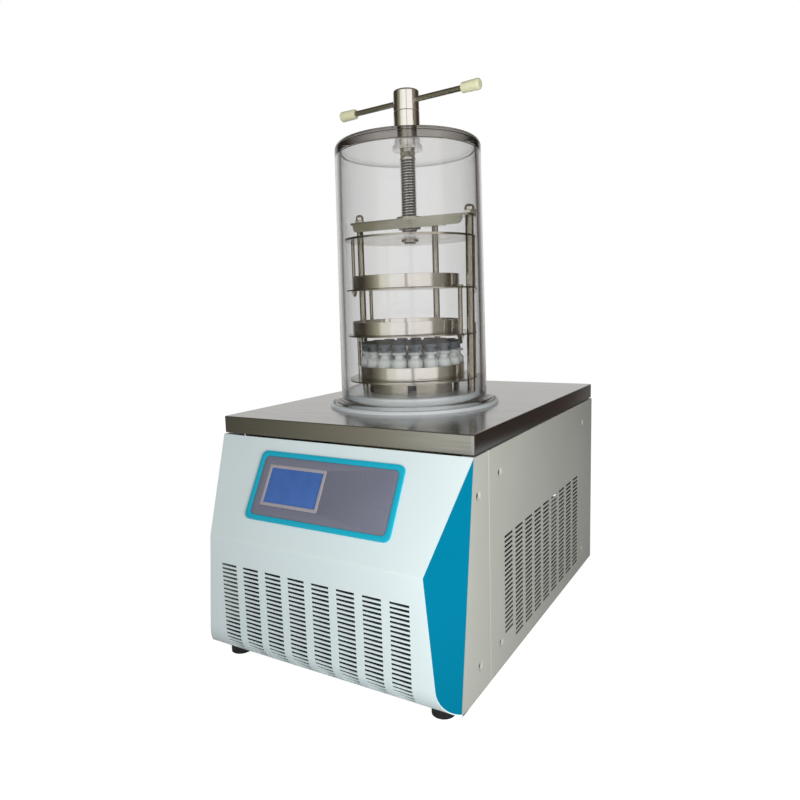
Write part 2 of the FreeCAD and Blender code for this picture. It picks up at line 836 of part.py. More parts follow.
screws = []
for name, along, level in (
    ("strip_high", "strip_screw_back", "strip_screw_high"),
    ("strip_low", "strip_screw_back", "strip_screw_low"),
    ("front_high", "panel_screw_front", "panel_screw_high"),
    ("front_low", "panel_screw_front", "panel_screw_low"),
    ("back_high", "panel_screw_back", "panel_screw_high"),
    ("back_low", "panel_screw_back", "panel_screw_low"),
):
    screw = cylinder(f"screw_{name}", "screw_radius", "screw_length", "half_width - screw_length",
                     f"deck_front + {along}", f"deck_top - {level}")
    screw.Placement.Rotation = Rotation(Vector(0, 1, 0), 90)
    screws.append(screw)
    screws.append(mirrored(f"screw_{name}_left", screw))
keep(grouped("panel_screws", screws))

rear = new_body("rear_panel")
rear_outline = rectangle("-half_width", "foot_height", "body_width", "panel_top - foot_height")
rear_holes = [("0", "port_z", "port_neck"), ("0", "drain_z", "valve_radius")]
inlet_hole = rectangle("inlet_x - inlet_width / 2 + inlet_lip", "inlet_z - inlet_height / 2 + inlet_lip",
                       "inlet_width - inlet_lip * 2", "inlet_height - inlet_lip * 2")
rear_sketch = drawn(rear, "XZ_Plane", [rear_outline, inlet_hole], rear_holes, "-deck_back")
pad(rear, rear_sketch, "sheet_gauge")
rear_slot = rectangle("compressor_x - rear_slot_width / 2", "deck_top - rear_slot_drop - rear_slot_height",
                      "rear_slot_width", "rear_slot_height")
rear_slot_sketch = drawn(rear, "XZ_Plane", [rear_slot], offset="-deck_back")
rear_cut = pocket(rear, rear_slot_sketch, "sheet_gauge * 4", symmetric=True)
rear_field = rear.newObject("PartDesign::LinearPattern", "rear_slots")
rear_field.Originals = [rear_cut]
rear_field.Direction = (rear_slot_sketch, ["V_Axis"])
rear_field.Reversed = True
tie(rear_field, {"Length": "rear_slot_pitch * (rear_slots - 1)", "Occurrences": "rear_slots"})
rear.Tip = rear_field
keep(rear)

pan = new_body("base_pan")
pan_start = "deck_front - return_depth"
pan_outline = rectangle("-wall_inner", pan_start, "wall_inner * 2", f"rear_inner - ({pan_start})")
pad(pan, drawn(pan, "XY_Plane", [pan_outline], offset="foot_height"), "pan_wall")
pan_hollow = rectangle("-wall_inner + pan_gauge", f"{pan_start} - pan_gauge", "(wall_inner - pan_gauge) * 2",
                       f"rear_inner - ({pan_start})")
pocket(pan, drawn(pan, "XY_Plane", [pan_hollow], offset="foot_height + pan_gauge"), "pan_wall", reverse=True)
keep(pan)

feet = []
for name, sign in (("left", "-1"), ("right", "1")):
    foot_x = f"{sign} * (half_width - foot_inset)"
    feet.append(cylinder(f"front_foot_{name}", "foot_radius", "foot_height",
                         foot_x, "deck_front - foot_front"))
    feet.append(cylinder(f"back_foot_{name}", "foot_radius", "foot_height", foot_x, "deck_back - foot_back"))
keep(grouped("feet", feet))

# ---------------------------------------------------------------- controls on the slope


def on_slope(thing):
    """Local X runs across the slope, local Y up it and local Z out of it, from the middle of its top line."""
    thing.Placement = Placement(Vector(0, 0, 0), Rotation(Vector(1, 0, 0), 60))
    return tie(thing, {".Placement.Base.y": "deck_front", ".Placement.Base.z": "rim_bottom",
                       ".Placement.Rotation.Angle": "90 deg - slope_angle"})


def slope_rectangle(left, drop, width, height):
    return rectangle(left, f"-({drop}) - ({height})", width, height)


def slope_plate(label, thickness, outlines, corner, outer, inner=None):
    body = plate(label, thickness, outlines)
    half = value(outer)
    rounded(body, corner, lambda edge: line_along("z")(edge) and near(abs(edge.Vertexes[0].Point.x), half))
    if inner:
        hole = value(inner)
        rounded(body, f"{corner} - band_bend", lambda edge: line_along("z")(edge)
                and near(abs(edge.Vertexes[0].Point.x), hole))
    return keep(on_slope(body))


window = slope_rectangle("-frame_width / 2 + frame_band", "frame_drop + frame_band",
                         "frame_width - frame_band * 2", "frame_height - frame_band * 2")
surround = slope_rectangle("-frame_width / 2", "frame_drop", "frame_width", "frame_height")
slope_plate("control_frame", "frame_thick", [surround, window], "frame_corner", "frame_width / 2",
            "frame_width / 2 - frame_band")
bezel = slope_rectangle("-bezel_left", "bezel_drop", "bezel_width", "bezel_height")
face_inset = "(frame_band + face_gap)"
face = slope_rectangle(f"-frame_width / 2 + {face_inset}", f"frame_drop + {face_inset}",
                       f"frame_width - {face_inset} * 2", f"frame_height - {face_inset} * 2")
slope_plate("control_fascia", "fascia_thick", [face, bezel], "frame_corner - band_bend",
            "frame_width / 2 - frame_band - face_gap")
glass = slope_rectangle("-bezel_left + bezel_band", "bezel_drop + bezel_band", "bezel_width - bezel_band * 2",
                        "bezel_height - bezel_band * 2")
keep(on_slope(plate("screen_bezel", "frame_thick", [bezel, glass])))
keep(on_slope(plate("screen", "screen_thick", [glass])))

board = new_body("control_board")
board_back = "-sheet_gauge - board_standoff"
board_drop = "frame_drop + (frame_height - board_height) / 2"
board_outline = slope_rectangle("-board_width / 2", board_drop, "board_width", "board_height")
pad(board, drawn(board, "XY_Plane", [board_outline], offset=f"{board_back} - board_gauge"), "board_gauge")
post_places = [f"{side} * (board_width / 2 - post_width) - post_width / 2" for side in ("-1", "1")]
posts = [slope_rectangle(left, drop, "post_width", "post_width") for left in post_places
         for drop in (f"{board_drop} + post_width / 2", f"{board_drop} + board_height - post_width * 1.5")]
pad(board, drawn(board, "XY_Plane", posts, offset=board_back), "board_standoff")
keep(on_slope(board))

# ---------------------------------------------------------------- cold trap

port_path = cylinder("port_path", "port_neck", "foam_radius * 2", "0", "axis_y + trap_radius / 2", "port_z")
port_path.Placement.Rotation = Rotation(Vector(1, 0, 0), -90)

vessel = turned("trap_wall", [
    ("trap_radius - trap_gauge", "flange_top"),
    ("flange_radius", "flange_top"),
    ("flange_radius", "deck_top"),
    ("trap_radius", "deck_top"),
    ("trap_radius", "trap_bottom"),
    ("drain_bore + trap_gauge", "trap_bottom"),
    ("drain_bore + trap_gauge", "trap_bottom - drain_tail"),
    ("drain_bore", "trap_bottom - drain_tail"),
    ("drain_bore", "trap_bottom + trap_gauge"),
    ("trap_radius - trap_gauge", "trap_bottom + trap_gauge"),
])
rounded(vessel, "trap_bend", rim_at("trap_radius", "trap_bottom"))
rounded(vessel, "trap_bend - trap_gauge", rim_at("trap_radius - trap_gauge", "trap_bottom + trap_gauge"))
keep(cut("trap_vessel", on_axis(vessel), port_path))

sleeve = turned("sleeve_wall", [
    ("trap_radius", "rim_bottom"),
    ("trap_radius + sleeve_gauge", "rim_bottom"),
    ("trap_radius + sleeve_gauge", "trap_bottom + trap_bend"),
    ("trap_radius", "trap_bottom + trap_bend"),
])
keep(cut("evaporator_sleeve", on_axis(sleeve), port_path))

foam = turned("foam_wall", [
    ("trap_radius + sleeve_gauge", "deck_top - deck_gauge"),
    ("foam_radius", "deck_top - deck_gauge"),
    ("foam_radius", "trap_bottom - foam_floor"),
    ("drain_bore + trap_gauge", "trap_bottom - foam_floor"),
    ("drain_bore + trap_gauge", "trap_bottom"),
    ("trap_radius + sleeve_gauge", "trap_bottom"),
])
keep(cut("trap_insulation", on_axis(foam), port_path))

keep(on_axis(turned("seat_ring", [
    ("bead_radius - bead_width", "deck_top"),
    ("bead_radius", "deck_top"),
    ("bead_radius", "deck_top + bead_height - bead_bevel"),
    ("bead_radius - bead_bevel", "deck_top + bead_height"),
    ("bead_radius - bead_width", "deck_top + bead_height"),
])))
keep(on_axis(turned("gasket", [
    ("gasket_inner", "flange_top"),
    ("gasket_outer", "flange_top"),
    ("gasket_outer", "gasket_top"),
    ("gasket_inner", "gasket_top"),
])))
guide = turned("baffle", [
    ("guide_bore", "guide_top"),
    ("guide_radius", "guide_top"),
    ("guide_radius", "flange_top"),
    ("guide_radius - guide_gauge", "flange_top"),
    ("guide_radius - guide_gauge", "guide_top - guide_gauge"),
    ("guide_bore + guide_gauge", "guide_top - guide_gauge"),
    ("guide_bore + guide_gauge", "guide_top - guide_tube"),
    ("guide_bore", "guide_top - guide_tube"),
])
rounded(guide, "guide_bend", rim_at("guide_radius", "guide_top"))
keep(on_axis(guide))

# ---------------------------------------------------------------- refrigeration

dome = turned("compressor_dome", [
    ("0", "mount_lift + mount_thick"),
    ("compressor_radius", "mount_lift + mount_thick"),
    ("compressor_radius", "mount_lift + compressor_height"),
    ("0", "mount_lift + compressor_height"),
])
rounded(dome, "compressor_bend", rim_at("compressor_radius", "mount_lift + compressor_height"))
mount = box("compressor_mount", ("mount_width", "mount_depth", "mount_thick"),
            ("-mount_width / 2", "-mount_depth / 2", "mount_lift"))
mount_corners = (("-1", "-1"), ("1", "-1"), ("1", "1"), ("-1", "1"))
grommets = [cylinder(f"grommet_{number}", "grommet_radius", "mount_lift",
                     f"{x} * (mount_width / 2 - grommet_radius)", f"{y} * (mount_depth / 2 - grommet_radius)")
            for number, (x, y) in enumerate(mount_corners)]
compressor = fused("compressor", [dome, mount] + grommets)
keep(placed(compressor, "compressor_x", "compressor_y", "condenser_floor"))

keep(box("condenser", ("condenser_width", "condenser_depth", "condenser_height"),
         ("-condenser_width / 2", "condenser_front", "condenser_floor")))
cowl = new_body("fan_shroud")
cowl_outline = rectangle("-condenser_height / 2", "condenser_floor", "condenser_height", "condenser_height")
cowl_sketch = drawn(cowl, "XZ_Plane", [cowl_outline], [("0", "fan_level", "cowl_bore")], "-condenser_back")
pad(cowl, cowl_sketch, "cowl_depth", reverse=True)
keep(cowl)

motor = cylinder("motor_can", "motor_radius", "motor_length", "0", "cowl_back + motor_gap", "fan_level")
motor.Placement.Rotation = Rotation(Vector(1, 0, 0), -90)
motor_spindle = cylinder("motor_spindle", "motor_shaft", "fan_depth + motor_gap", "0",
                         "cowl_back - fan_depth", "fan_level")
motor_spindle.Placement.Rotation = Rotation(Vector(1, 0, 0), -90)
motor_leg = box("motor_leg", ("motor_radius", "motor_length / 2", "fan_level - condenser_floor"),
                ("-motor_radius / 2", "cowl_back + motor_gap + motor_length / 4", "condenser_floor"))
keep(fused("fan_motor", [motor, motor_spindle, motor_leg]))

hub = turned("fan_hub_turned", [
    ("motor_shaft + running_gap", "-fan_depth / 2"),
    ("fan_hub", "-fan_depth / 2"),
    ("fan_hub", "fan_depth / 2"),
    ("motor_shaft + running_gap", "fan_depth / 2"),
])
blades = []
for number in range(DRIVING["fan_blades"]):
    blade_size = ("fan_radius - fan_hub / 2", "blade_chord", "blade_gauge")
    blade = box(f"blade_{number}", blade_size, ("0", "0", "0"))
    blade.Placement = Placement(Vector(0, 0, 0), Rotation(Vector(1, 0, 0), DRIVING["blade_angle"]))
    tie(blade, {".Placement.Base.x": "fan_hub / 2",
                ".Placement.Base.y": "-blade_chord / 2 * cos(blade_angle)",
                ".Placement.Base.z": "-blade_chord / 2 * sin(blade_angle)",
                ".Placement.Rotation.Angle": "blade_angle"})
    swung = doc.addObject("Part::Compound", f"blade_{number}_turned")
    swung.Links = [blade]
    swung.Placement.Rotation = Rotation(Vector(0, 0, 1), 10)
    tie(swung, {".Placement.Rotation.Angle": f"360 / fan_blades * {number}" if number else "0"})
    blades.append(swung)
rotor = fused("fan_rotor", [hub] + blades)
rotor.Placement.Rotation = Rotation(Vector(1, 0, 0), -90)
keep(placed(rotor, "0", "cowl_back - fan_depth / 2", "fan_level"))


def pipe(label, role, points, level, radius, outlet):
    """A round pipe along the points, which lie in one plane of the given role at the given level."""
    body = new_body(label)
    spine = drawn(body, role, offset=level)
    corners = [Vector(value(x), value(y), 0) for x, y in points]
    for index in range(len(corners) - 1):
        spine.addGeometry(Part.LineSegment(corners[index], corners[index + 1]), False)
        if index:
            spine.addConstraint(Sketcher.Constraint("Coincident", index - 1, 2, index, 1))
        hold_point(spine, index, 1, *points[index])
    hold_point(spine, len(corners) - 2, 2, *points[-1])
    profile = drawn(body, outlet[0], circles=[(outlet[1], outlet[2], radius)], offset=outlet[3])
    feature = body.newObject("PartDesign::AdditivePipe", f"{body.Name}_pipe")
    feature.Profile = profile
    feature.Spine = spine
    feature.Transition = "Round corner"
    return body


compressor_side = "compressor_x - compressor_radius"
suction = pipe("suction_line", "XY_Plane", [
    ("0", "axis_y + foam_radius"),
    ("0", "compressor_y"),
    (compressor_side, "compressor_y"),
], "suction_level", "line_radius", ("XZ_Plane", "0", "suction_level", "-(axis_y + foam_radius)"))
discharge = pipe("discharge_line", "XY_Plane", [
    (compressor_side, "compressor_y"),
    ("-line_side", "compressor_y"),
    ("-line_side", "condenser_front + condenser_depth / 2"),
    ("-condenser_width / 2", "condenser_front + condenser_depth / 2"),
], "discharge_level", "line_radius", ("YZ_Plane", "compressor_y", "discharge_level", compressor_side))
liquid = pipe("liquid_line", "YZ_Plane", [
    ("condenser_back", "liquid_level"),
    ("axis_y", "liquid_level"),
    ("axis_y", "trap_bottom - foam_floor"),
], "liquid_x", "line_radius", ("XZ_Plane", "liquid_x", "liquid_level", "-condenser_back"))
keep(grouped("refrigerant_lines", [suction, discharge, liquid]))

# ---------------------------------------------------------------- rear fittings

port = turned("vacuum_port", [
    ("port_bore", "0"),
    ("port_neck", "0"),
    ("port_neck", "deck_back + rear_reach - port_flange - port_taper - axis_y - trap_radius"),
    ("port_radius", "deck_back + rear_reach - port_flange - axis_y - trap_radius"),
    ("port_radius", "deck_back + rear_reach - axis_y - trap_radius"),
    ("port_bore", "deck_back + rear_reach - axis_y - trap_radius"),
])
port.Placement.Rotation = Rotation(Vector(1, 0, 0), -90)
keep(placed(port, "0", "axis_y + trap_radius", "port_z"))

inlet = new_body("power_inlet")
plate_outline = rectangle("-inlet_width / 2", "-inlet_height / 2", "inlet_width", "inlet_height")
pad(inlet, drawn(inlet, "XZ_Plane", [plate_outline]), "inlet_proud", reverse=True)
rounded(inlet, "inlet_corner", line_along("y"))
housing = rectangle("-inlet_width / 2 + inlet_lip", "-inlet_height / 2 + inlet_lip",
                    "inlet_width - inlet_lip * 2", "inlet_height - inlet_lip * 2")
pad(inlet, drawn(inlet, "XZ_Plane", [housing]), "inlet_depth")
socket_outline = rectangle("-socket_width / 2", "-socket_drop - socket_height / 2", "socket_width",
                           "socket_height")
socket_sketch = drawn(inlet, "XZ_Plane", [socket_outline], offset="-inlet_proud")
pocket(inlet, socket_sketch, "socket_depth", reverse=True)
rocker_hole = rectangle("-rocker_width / 2 - rocker_side_gap",
                        "rocker_rise - rocker_height / 2 - rocker_end_gap",
                        "rocker_width + rocker_side_gap * 2", "rocker_height + rocker_end_gap * 2")
pocket(inlet, drawn(inlet, "XZ_Plane", [rocker_hole], offset="-inlet_proud"), "socket_depth", reverse=True)
pin_hole = drawn(inlet, "YZ_Plane", circles=[("-rocker_depth", "rocker_rise", "rocker_pin + running_gap")])
pocket(inlet, pin_hole, "rocker_width + (trunnion_length + rocker_end_gap) * 2", symmetric=True)
contacts = [rectangle(f"{place} * contact_pitch - contact_width / 2", "-socket_drop - contact_height / 2",
                      "contact_width", "contact_height") for place in ("-1", "0", "1")]
contact_sketch = drawn(inlet, "XZ_Plane", contacts, offset="socket_depth - inlet_proud")
pad(inlet, contact_sketch, "contact_length", reverse=True)
keep(placed(inlet, "inlet_x", "deck_back", "inlet_z"))

rocker = new_body("power_rocker")
rocker_profile = [
    ("-rocker_depth", "-rocker_height / 2"),
    ("rocker_depth", "-rocker_height / 2"),
    ("rocker_depth - rocker_dip", "0"),
    ("rocker_depth", "rocker_height / 2"),
    ("-rocker_depth", "rocker_height / 2"),
]
pad(rocker, drawn(rocker, "YZ_Plane", [rocker_profile]), "rocker_width", symmetric=True)
trunnion_sketch = drawn(rocker, "YZ_Plane", circles=[("0", "0", "rocker_pin")])
pad(rocker, trunnion_sketch, "rocker_width + trunnion_length * 2", symmetric=True)
rocker.Placement.Rotation = Rotation(Vector(1, 0, 0), 5)
tie(rocker, {".Placement.Rotation.Angle": "rocker_angle"})
keep(placed(rocker, "inlet_x", "deck_back - rocker_depth", "inlet_z + rocker_rise"))

drain = pipe("drain_pipe", "YZ_Plane", [
    ("axis_y", "trap_bottom - drain_tail"),
    ("axis_y", "drain_z"),
    ("deck_back - valve_root", "drain_z"),
], "0", "drain_bore + trap_gauge", ("XY_Plane", "0", "axis_y", "trap_bottom - drain_tail"))
valve = cylinder("valve_body", "valve_radius", "valve_reach + valve_root", "0",
                 "deck_back - valve_root", "drain_z")
valve.Placement.Rotation = Rotation(Vector(1, 0, 0), -90)
boss = cylinder("valve_boss", "bonnet_radius", "bonnet_top", "0", "deck_back + valve_reach / 2", "drain_z")
valve_solid = fused("valve_solid", [drain, valve, boss])
stem_hole = cylinder("stem_hole", "stem_radius + running_gap", "valve_radius * 2", "0",
                     "deck_back + valve_reach / 2", "drain_z")
outlet_hole = cylinder("outlet_hole", "outlet_bore", "outlet_depth * 2", "0",
                       "deck_back + valve_reach - outlet_depth", "drain_z")
outlet_hole.Placement.Rotation = Rotation(Vector(1, 0, 0), -90)
keep(cut("drain_valve", cut("valve_bored", valve_solid, stem_hole), outlet_hole))

stem = cylinder("lever_stem", "stem_radius", "bonnet_top + lever_thick", "0", "0", "seal_gap")
grip = box("lever_grip", ("lever_length", "lever_width", "lever_thick"),
           ("-lever_width / 2", "-lever_width / 2", "bonnet_top + seal_gap"))
lever = fused("drain_lever", [stem, grip])
keep(placed(lever, "0", "deck_back + valve_reach / 2", "drain_z"))

# ---------------------------------------------------------------- jar, gland and handle

bell = turned("jar", [
    ("jar_radius - jar_wall", "0"),
    ("foot_rim", "0"),
    ("foot_rim", "rim_thick"),
    ("jar_radius", "rim_thick"),
    ("jar_top_radius", "jar_height"),
    ("gland_bore", "jar_height"),
    ("gland_bore", "jar_height - roof_thick"),
    ("jar_top_radius - jar_wall", "jar_height - roof_thick"),
])
rounded(bell, "rim_bend", rim_at("jar_radius", "rim_thick"))
rounded(bell, "roof_bend", rim_at("jar_top_radius", "jar_height"))
rounded(bell, "hollow_bend", rim_at("jar_top_radius - jar_wall", "jar_height - roof_thick"))
keep(on_axis(bell, "jar_base"))

shaft_bore = "shaft_radius + shaft_gap"
gland = turned("gland_sleeve", [
    (shaft_bore, "locknut_base"),
    ("gland_stem", "locknut_base"),
    ("gland_stem", "jar_top"),
    ("skirt_radius", "jar_top"),
    ("skirt_radius", "jar_top + skirt_height"),
    ("sleeve_radius", "jar_top + skirt_height"),
    ("sleeve_radius", "sleeve_top"),
    ("seal_outer", "sleeve_top"),
    ("seal_outer", "sleeve_top - seal_depth"),
    (shaft_bore, "sleeve_top - seal_depth"),
])
keep(on_axis(gland))
keep(on_axis(turned("gland_nut", [
    ("gland_stem", "locknut_base"),
    ("locknut_radius", "locknut_base"),
    ("locknut_radius", "roof_under"),
    ("gland_stem", "roof_under"),
])))
keep(on_axis(turned("gland_seal", [
    ("seal_inner", "sleeve_top - seal_depth"),
    ("seal_outer", "sleeve_top - seal_depth"),
    ("seal_outer", "sleeve_top"),
    ("seal_inner", "sleeve_top"),
])))

shaft = turned("drive_shaft", [
    ("0", "thrust_base - tongue_length"),
    ("tongue_width / 2", "thrust_base - tongue_length"),
    ("tongue_width / 2", "thrust_base"),
    ("thrust_radius", "thrust_base"),
    ("thrust_radius", "thrust_top"),
    ("shaft_radius", "thrust_top"),
    ("shaft_radius", "bar_level - bar_radius"),
    ("0", "bar_level - bar_radius"),
])
flats = [rectangle(x, "thrust_base - tongue_length", "tongue_width", "tongue_length")
         for x in ("tongue_thick / 2", "-tongue_thick / 2 - tongue_width")]
pocket(shaft, drawn(shaft, "YZ_Plane", flats), "tongue_width * 2", symmetric=True)
keep(on_axis(shaft))


def on_bar(thing):
    """Level with the bar and turned with it."""
    thing.Placement = Placement(Vector(0, 0, 0), Rotation(Vector(0, 0, 1), 10))
    on_axis(thing, "bar_level")
    return tie(thing, {".Placement.Rotation.Angle": "bar_angle"})


bar_body = cylinder("bar_rod", "bar_radius", "bar_half * 2", "-bar_half")
bar_body.Placement.Rotation = Rotation(Vector(0, 1, 0), 90)
keep(on_bar(grouped("handle_bar", [bar_body])))

head = turned("head_blank", [
    ("0", "-head_height / 2"),
    ("head_radius", "-head_height / 2"),
    ("head_radius", "head_height / 2"),
    ("0", "head_height / 2"),
])
rounded(head, "head_bend", rim_at("head_radius", "head_height / 2"))
bar_hole = drawn(head, "YZ_Plane", circles=[("0", "0", "bar_radius")])
pocket(head, bar_hole, "head_radius * 3", symmetric=True)
shaft_hole = drawn(head, "XY_Plane", circles=[("0", "0", "shaft_radius")], offset="-head_height / 2")
pocket(head, shaft_hole, "head_height / 2 - bar_radius", reverse=True)
keep(on_bar(grouped("handle_head", [head])))

knob = turned("knob_right", [
    ("0", "0"),
    ("knob_radius", "0"),
    ("knob_radius", "-knob_length"),
    ("bar_radius", "-knob_length"),
    ("bar_radius", "bar_half - knob_reach"),
    ("0", "bar_half - knob_reach"),
])
rounded(knob, "knob_bend", rim_at("knob_radius", "0"))
rounded(knob, "knob_bend", rim_at("knob_radius", "-knob_length"))
knob.Placement.Rotation = Rotation(Vector(0, 1, 0), 90)
placed(knob, "knob_reach")
keep(on_bar(grouped("handle_knobs", [knob, mirrored("knob_left", knob)])))

# ---------------------------------------------------------------- stoppering rack


def rim_notch(azimuth):
    """A notch for a column, open to the rim."""
    start = "column_orbit - notch_radius"
    end = "rack_radius + column_radius"
    corners = [(start, "-notch_radius"), (end, "-notch_radius"), (end, "notch_radius"),
               (start, "notch_radius")]
    return [(f"({u}) * cos({azimuth}) - ({v}) * sin({azimuth})",
             f"({u}) * sin({azimuth}) + ({v}) * cos({azimuth})") for u, v in corners]


def rod_hole(azimuth, radius):
    return (*around("rod_orbit", azimuth), radius)


COLUMNS = ("column_right", "column_rear", "column_left")


def rack_plate(label, base, thickness, holes):
    """A round plate with a notch for each column, rounded to clear it, and holes for the rods."""
    body = new_body(label)
    pad(body, drawn(body, "XY_Plane", circles=[("0", "0", "rack_radius")], offset=base), thickness)
    notches = drawn(body, "XY_Plane", [rim_notch(azimuth) for azimuth in COLUMNS], holes, base)
    pocket(body, notches, "shelf_thick * 4", symmetric=True)
    corner = math.hypot(value("column_orbit - notch_radius"), value("notch_radius"))

    def inner_corner(edge):
        point = edge.Vertexes[0].Point
        return line_along("z")(edge) and near(math.hypot(point.x, point.y), corner)

    rounded(body, "column_radius", inner_corner)
    return body


keep(on_axis(rack_plate("shelf_lower", "lower_base", "shelf_thick", [
    rod_hole("lower_right_angle", "rod_radius"), rod_hole("lower_left_angle", "rod_radius")])))
keep(on_axis(rack_plate("shelf_middle", "middle_base", "shelf_thick", [
    rod_hole("lower_right_angle", "rod_hole"), rod_hole("lower_left_angle", "rod_hole"),
    rod_hole("middle_right_angle", "rod_hole"), rod_hole("middle_left_angle", "rod_hole")])))
keep(on_axis(rack_plate("shelf_upper", "upper_base", "shelf_thick", [
    rod_hole("middle_right_angle", "rod_radius"), rod_hole("middle_left_angle", "rod_radius"),
    rod_hole("upper_right_angle", "rod_hole"), rod_hole("upper_left_angle", "rod_hole")])))
press = rack_plate("press_plate", "press_base", "press_thick", [
    rod_hole("upper_right_angle", "rod_radius"), rod_hole("upper_left_angle", "rod_radius")])
pad(press, drawn(press, "XY_Plane", circles=[("0", "0", "boss_radius")], offset="boss_bottom"), "boss_thick")
pivot_hole = drawn(press, "XY_Plane", circles=[("0", "0", "shaft_radius + running_gap")], offset="press_base")
pocket(press, pivot_hole, "boss_thick * 4", symmetric=True)
keep(on_axis(press))

ring = turned("ring_blank", [
    ("ring_radius - ring_gauge", "guide_top"),
    ("ring_radius", "guide_top"),
    ("ring_radius", "lower_base"),
    ("ring_radius - ring_gauge", "lower_base"),
])
ring_port_outline = rectangle("-ring_port_width / 2", "guide_top", "ring_port_width", "ring_port_height")
ring_port = pocket(ring, drawn(ring, "XZ_Plane", [ring_port_outline]), "ring_radius * 2")
ring_ports = ring.newObject("PartDesign::PolarPattern", "ring_ports")
ring_ports.Originals = [ring_port]
ring_ports.Axis = (ring_port.Profile[0], ["V_Axis"])
ring_ports.Angle = 360
tie(ring_ports, {"Occurrences": "ring_ports"})
ring.Tip = ring_ports
rack_ring = grouped("rack_ring", [ring])
rack_ring.Placement = Placement(Vector(0, 0, 0), Rotation(Vector(0, 0, 1), 10))
keep(on_axis(tie(rack_ring, {".Placement.Rotation.Angle": "ring_angle"})))


def ring_of(label, make, spots):
    """Copies of a turned piece standing about the axis, kept as separate solids."""
    pieces = []
    for number, (orbit, azimuth) in enumerate(spots):
        x, y = around(orbit, azimuth)
        pieces.append(placed(make(f"{label}_{number}"), x, f"axis_y + {y}"))
    return keep(grouped(label, pieces))


def column(label):
    return turned(label, [
        ("0", "guide_top"),
        ("column_radius", "guide_top"),
        ("column_radius", "bridge_base"),
        ("stud_radius", "bridge_base"),
        ("stud_radius", "bridge_top + acorn_base"),
        ("0", "bridge_top + acorn_base"),
    ])


def acorn(label):
    body = turned(label, [
        ("0", "bridge_top + acorn_base"),
        ("stud_radius", "bridge_top + acorn_base"),
        ("stud_radius", "bridge_top"),
        ("acorn_radius", "bridge_top"),
        ("acorn_radius", "bridge_top + acorn_height"),
        ("0", "bridge_top + acorn_height"),
    ])
    rounded(body, "acorn_bend", rim_at("acorn_radius", "bridge_top + acorn_height"))
    return body


def hanging_rod(top, seat, head):
    """A rod ending in a cone, whose flat face carries a shelf; it may have a head above its own plate."""
    def make(label):
        corners = [
            ("0", f"{seat} - cone_height"),
            ("cone_tip", f"{seat} - cone_height"),
            ("cone_radius", seat),
            ("rod_radius", seat),
            ("rod_radius", top),
        ]
        if head:
            corners += [
                ("rod_head", top),
                ("rod_head", f"{top} + rod_head_thick"),
                ("0", f"{top} + rod_head_thick"),
            ]
        else:
            corners.append(("0", top))
        return turned(label, corners)
    return make


def guide_rod(label):
    return turned(label, [
        ("0", "lower_base"),
        ("rod_radius", "lower_base"),
        ("rod_radius", "middle_top + guide_rise"),
        ("0", "middle_top + guide_rise"),
    ])


ring_of("columns", column, [("column_orbit", azimuth) for azimuth in COLUMNS])
ring_of("acorn_nuts", acorn, [("column_orbit", azimuth) for azimuth in COLUMNS])
ring_of("hanger_rods_upper", hanging_rod("press_top", "upper_base - seal_gap", False),
        [("rod_orbit", "upper_right_angle"), ("rod_orbit", "upper_left_angle")])
ring_of("hanger_rods_middle", hanging_rod("upper_top", "middle_base - seal_gap", True),
        [("rod_orbit", "middle_right_angle"), ("rod_orbit", "middle_left_angle")])
ring_of("guide_rods_lower", guide_rod,
        [("rod_orbit", "lower_right_angle"), ("rod_orbit", "lower_left_angle")])

bridge = new_body("bridge_blank")
bridge_holes = [("0", "0", "nut_radius")]
bridge_holes += [(*around("column_orbit", f"{azimuth} - rack_angle"), "stud_radius") for azimuth in COLUMNS]
tee = [
    ("-bridge_reach", "-bridge_arm"),
    ("bridge_reach", "-bridge_arm"),
    ("bridge_reach", "bridge_arm"),
    ("bridge_arm", "bridge_arm"),
    ("bridge_arm", "bridge_reach"),
    ("-bridge_arm", "bridge_reach"),
    ("-bridge_arm", "bridge_arm"),
    ("-bridge_reach", "bridge_arm"),
]
pad(bridge, drawn(bridge, "XY_Plane", [tee], bridge_holes, "bridge_base"), "bridge_thick")
lip = rectangle("-lip_half", "bridge_base - lip_height", "lip_half * 2", "lip_height + bridge_thick")
lip_sketch = drawn(bridge, "XZ_Plane", [lip], offset="bridge_arm - lip_thick")
pad(bridge, lip_sketch, "lip_thick")
lip_bottom = value("bridge_base - lip_height")
rounded(bridge, "lip_bend", lambda edge: line_along("y")(edge) and near(edge.Vertexes[0].Point.z, lip_bottom))
half_reach = value("bridge_reach")
rounded(bridge, "lip_bend", lambda edge: line_along("z")(edge) and near(
    max(abs(edge.Vertexes[0].Point.x), abs(edge.Vertexes[0].Point.y)), half_reach))
bridge_piece = grouped("bridge", [bridge])
bridge_piece.Placement = Placement(Vector(0, 0, 0), Rotation(Vector(0, 0, 1), 10))
keep(on_axis(tie(bridge_piece, {".Placement.Rotation.Angle": "rack_angle"})))

keep(on_axis(turned("bridge_nut", [
    ("thread_radius + thread_gap", "bridge_top + nut_flange_thick - nut_length - bridge_thick"),
    ("nut_radius", "bridge_top + nut_flange_thick - nut_length - bridge_thick"),
    ("nut_radius", "bridge_top"),
    ("nut_flange", "bridge_top"),
    ("nut_flange", "bridge_top + nut_flange_thick"),
    ("thread_radius + thread_gap", "bridge_top + nut_flange_thick"),
])))

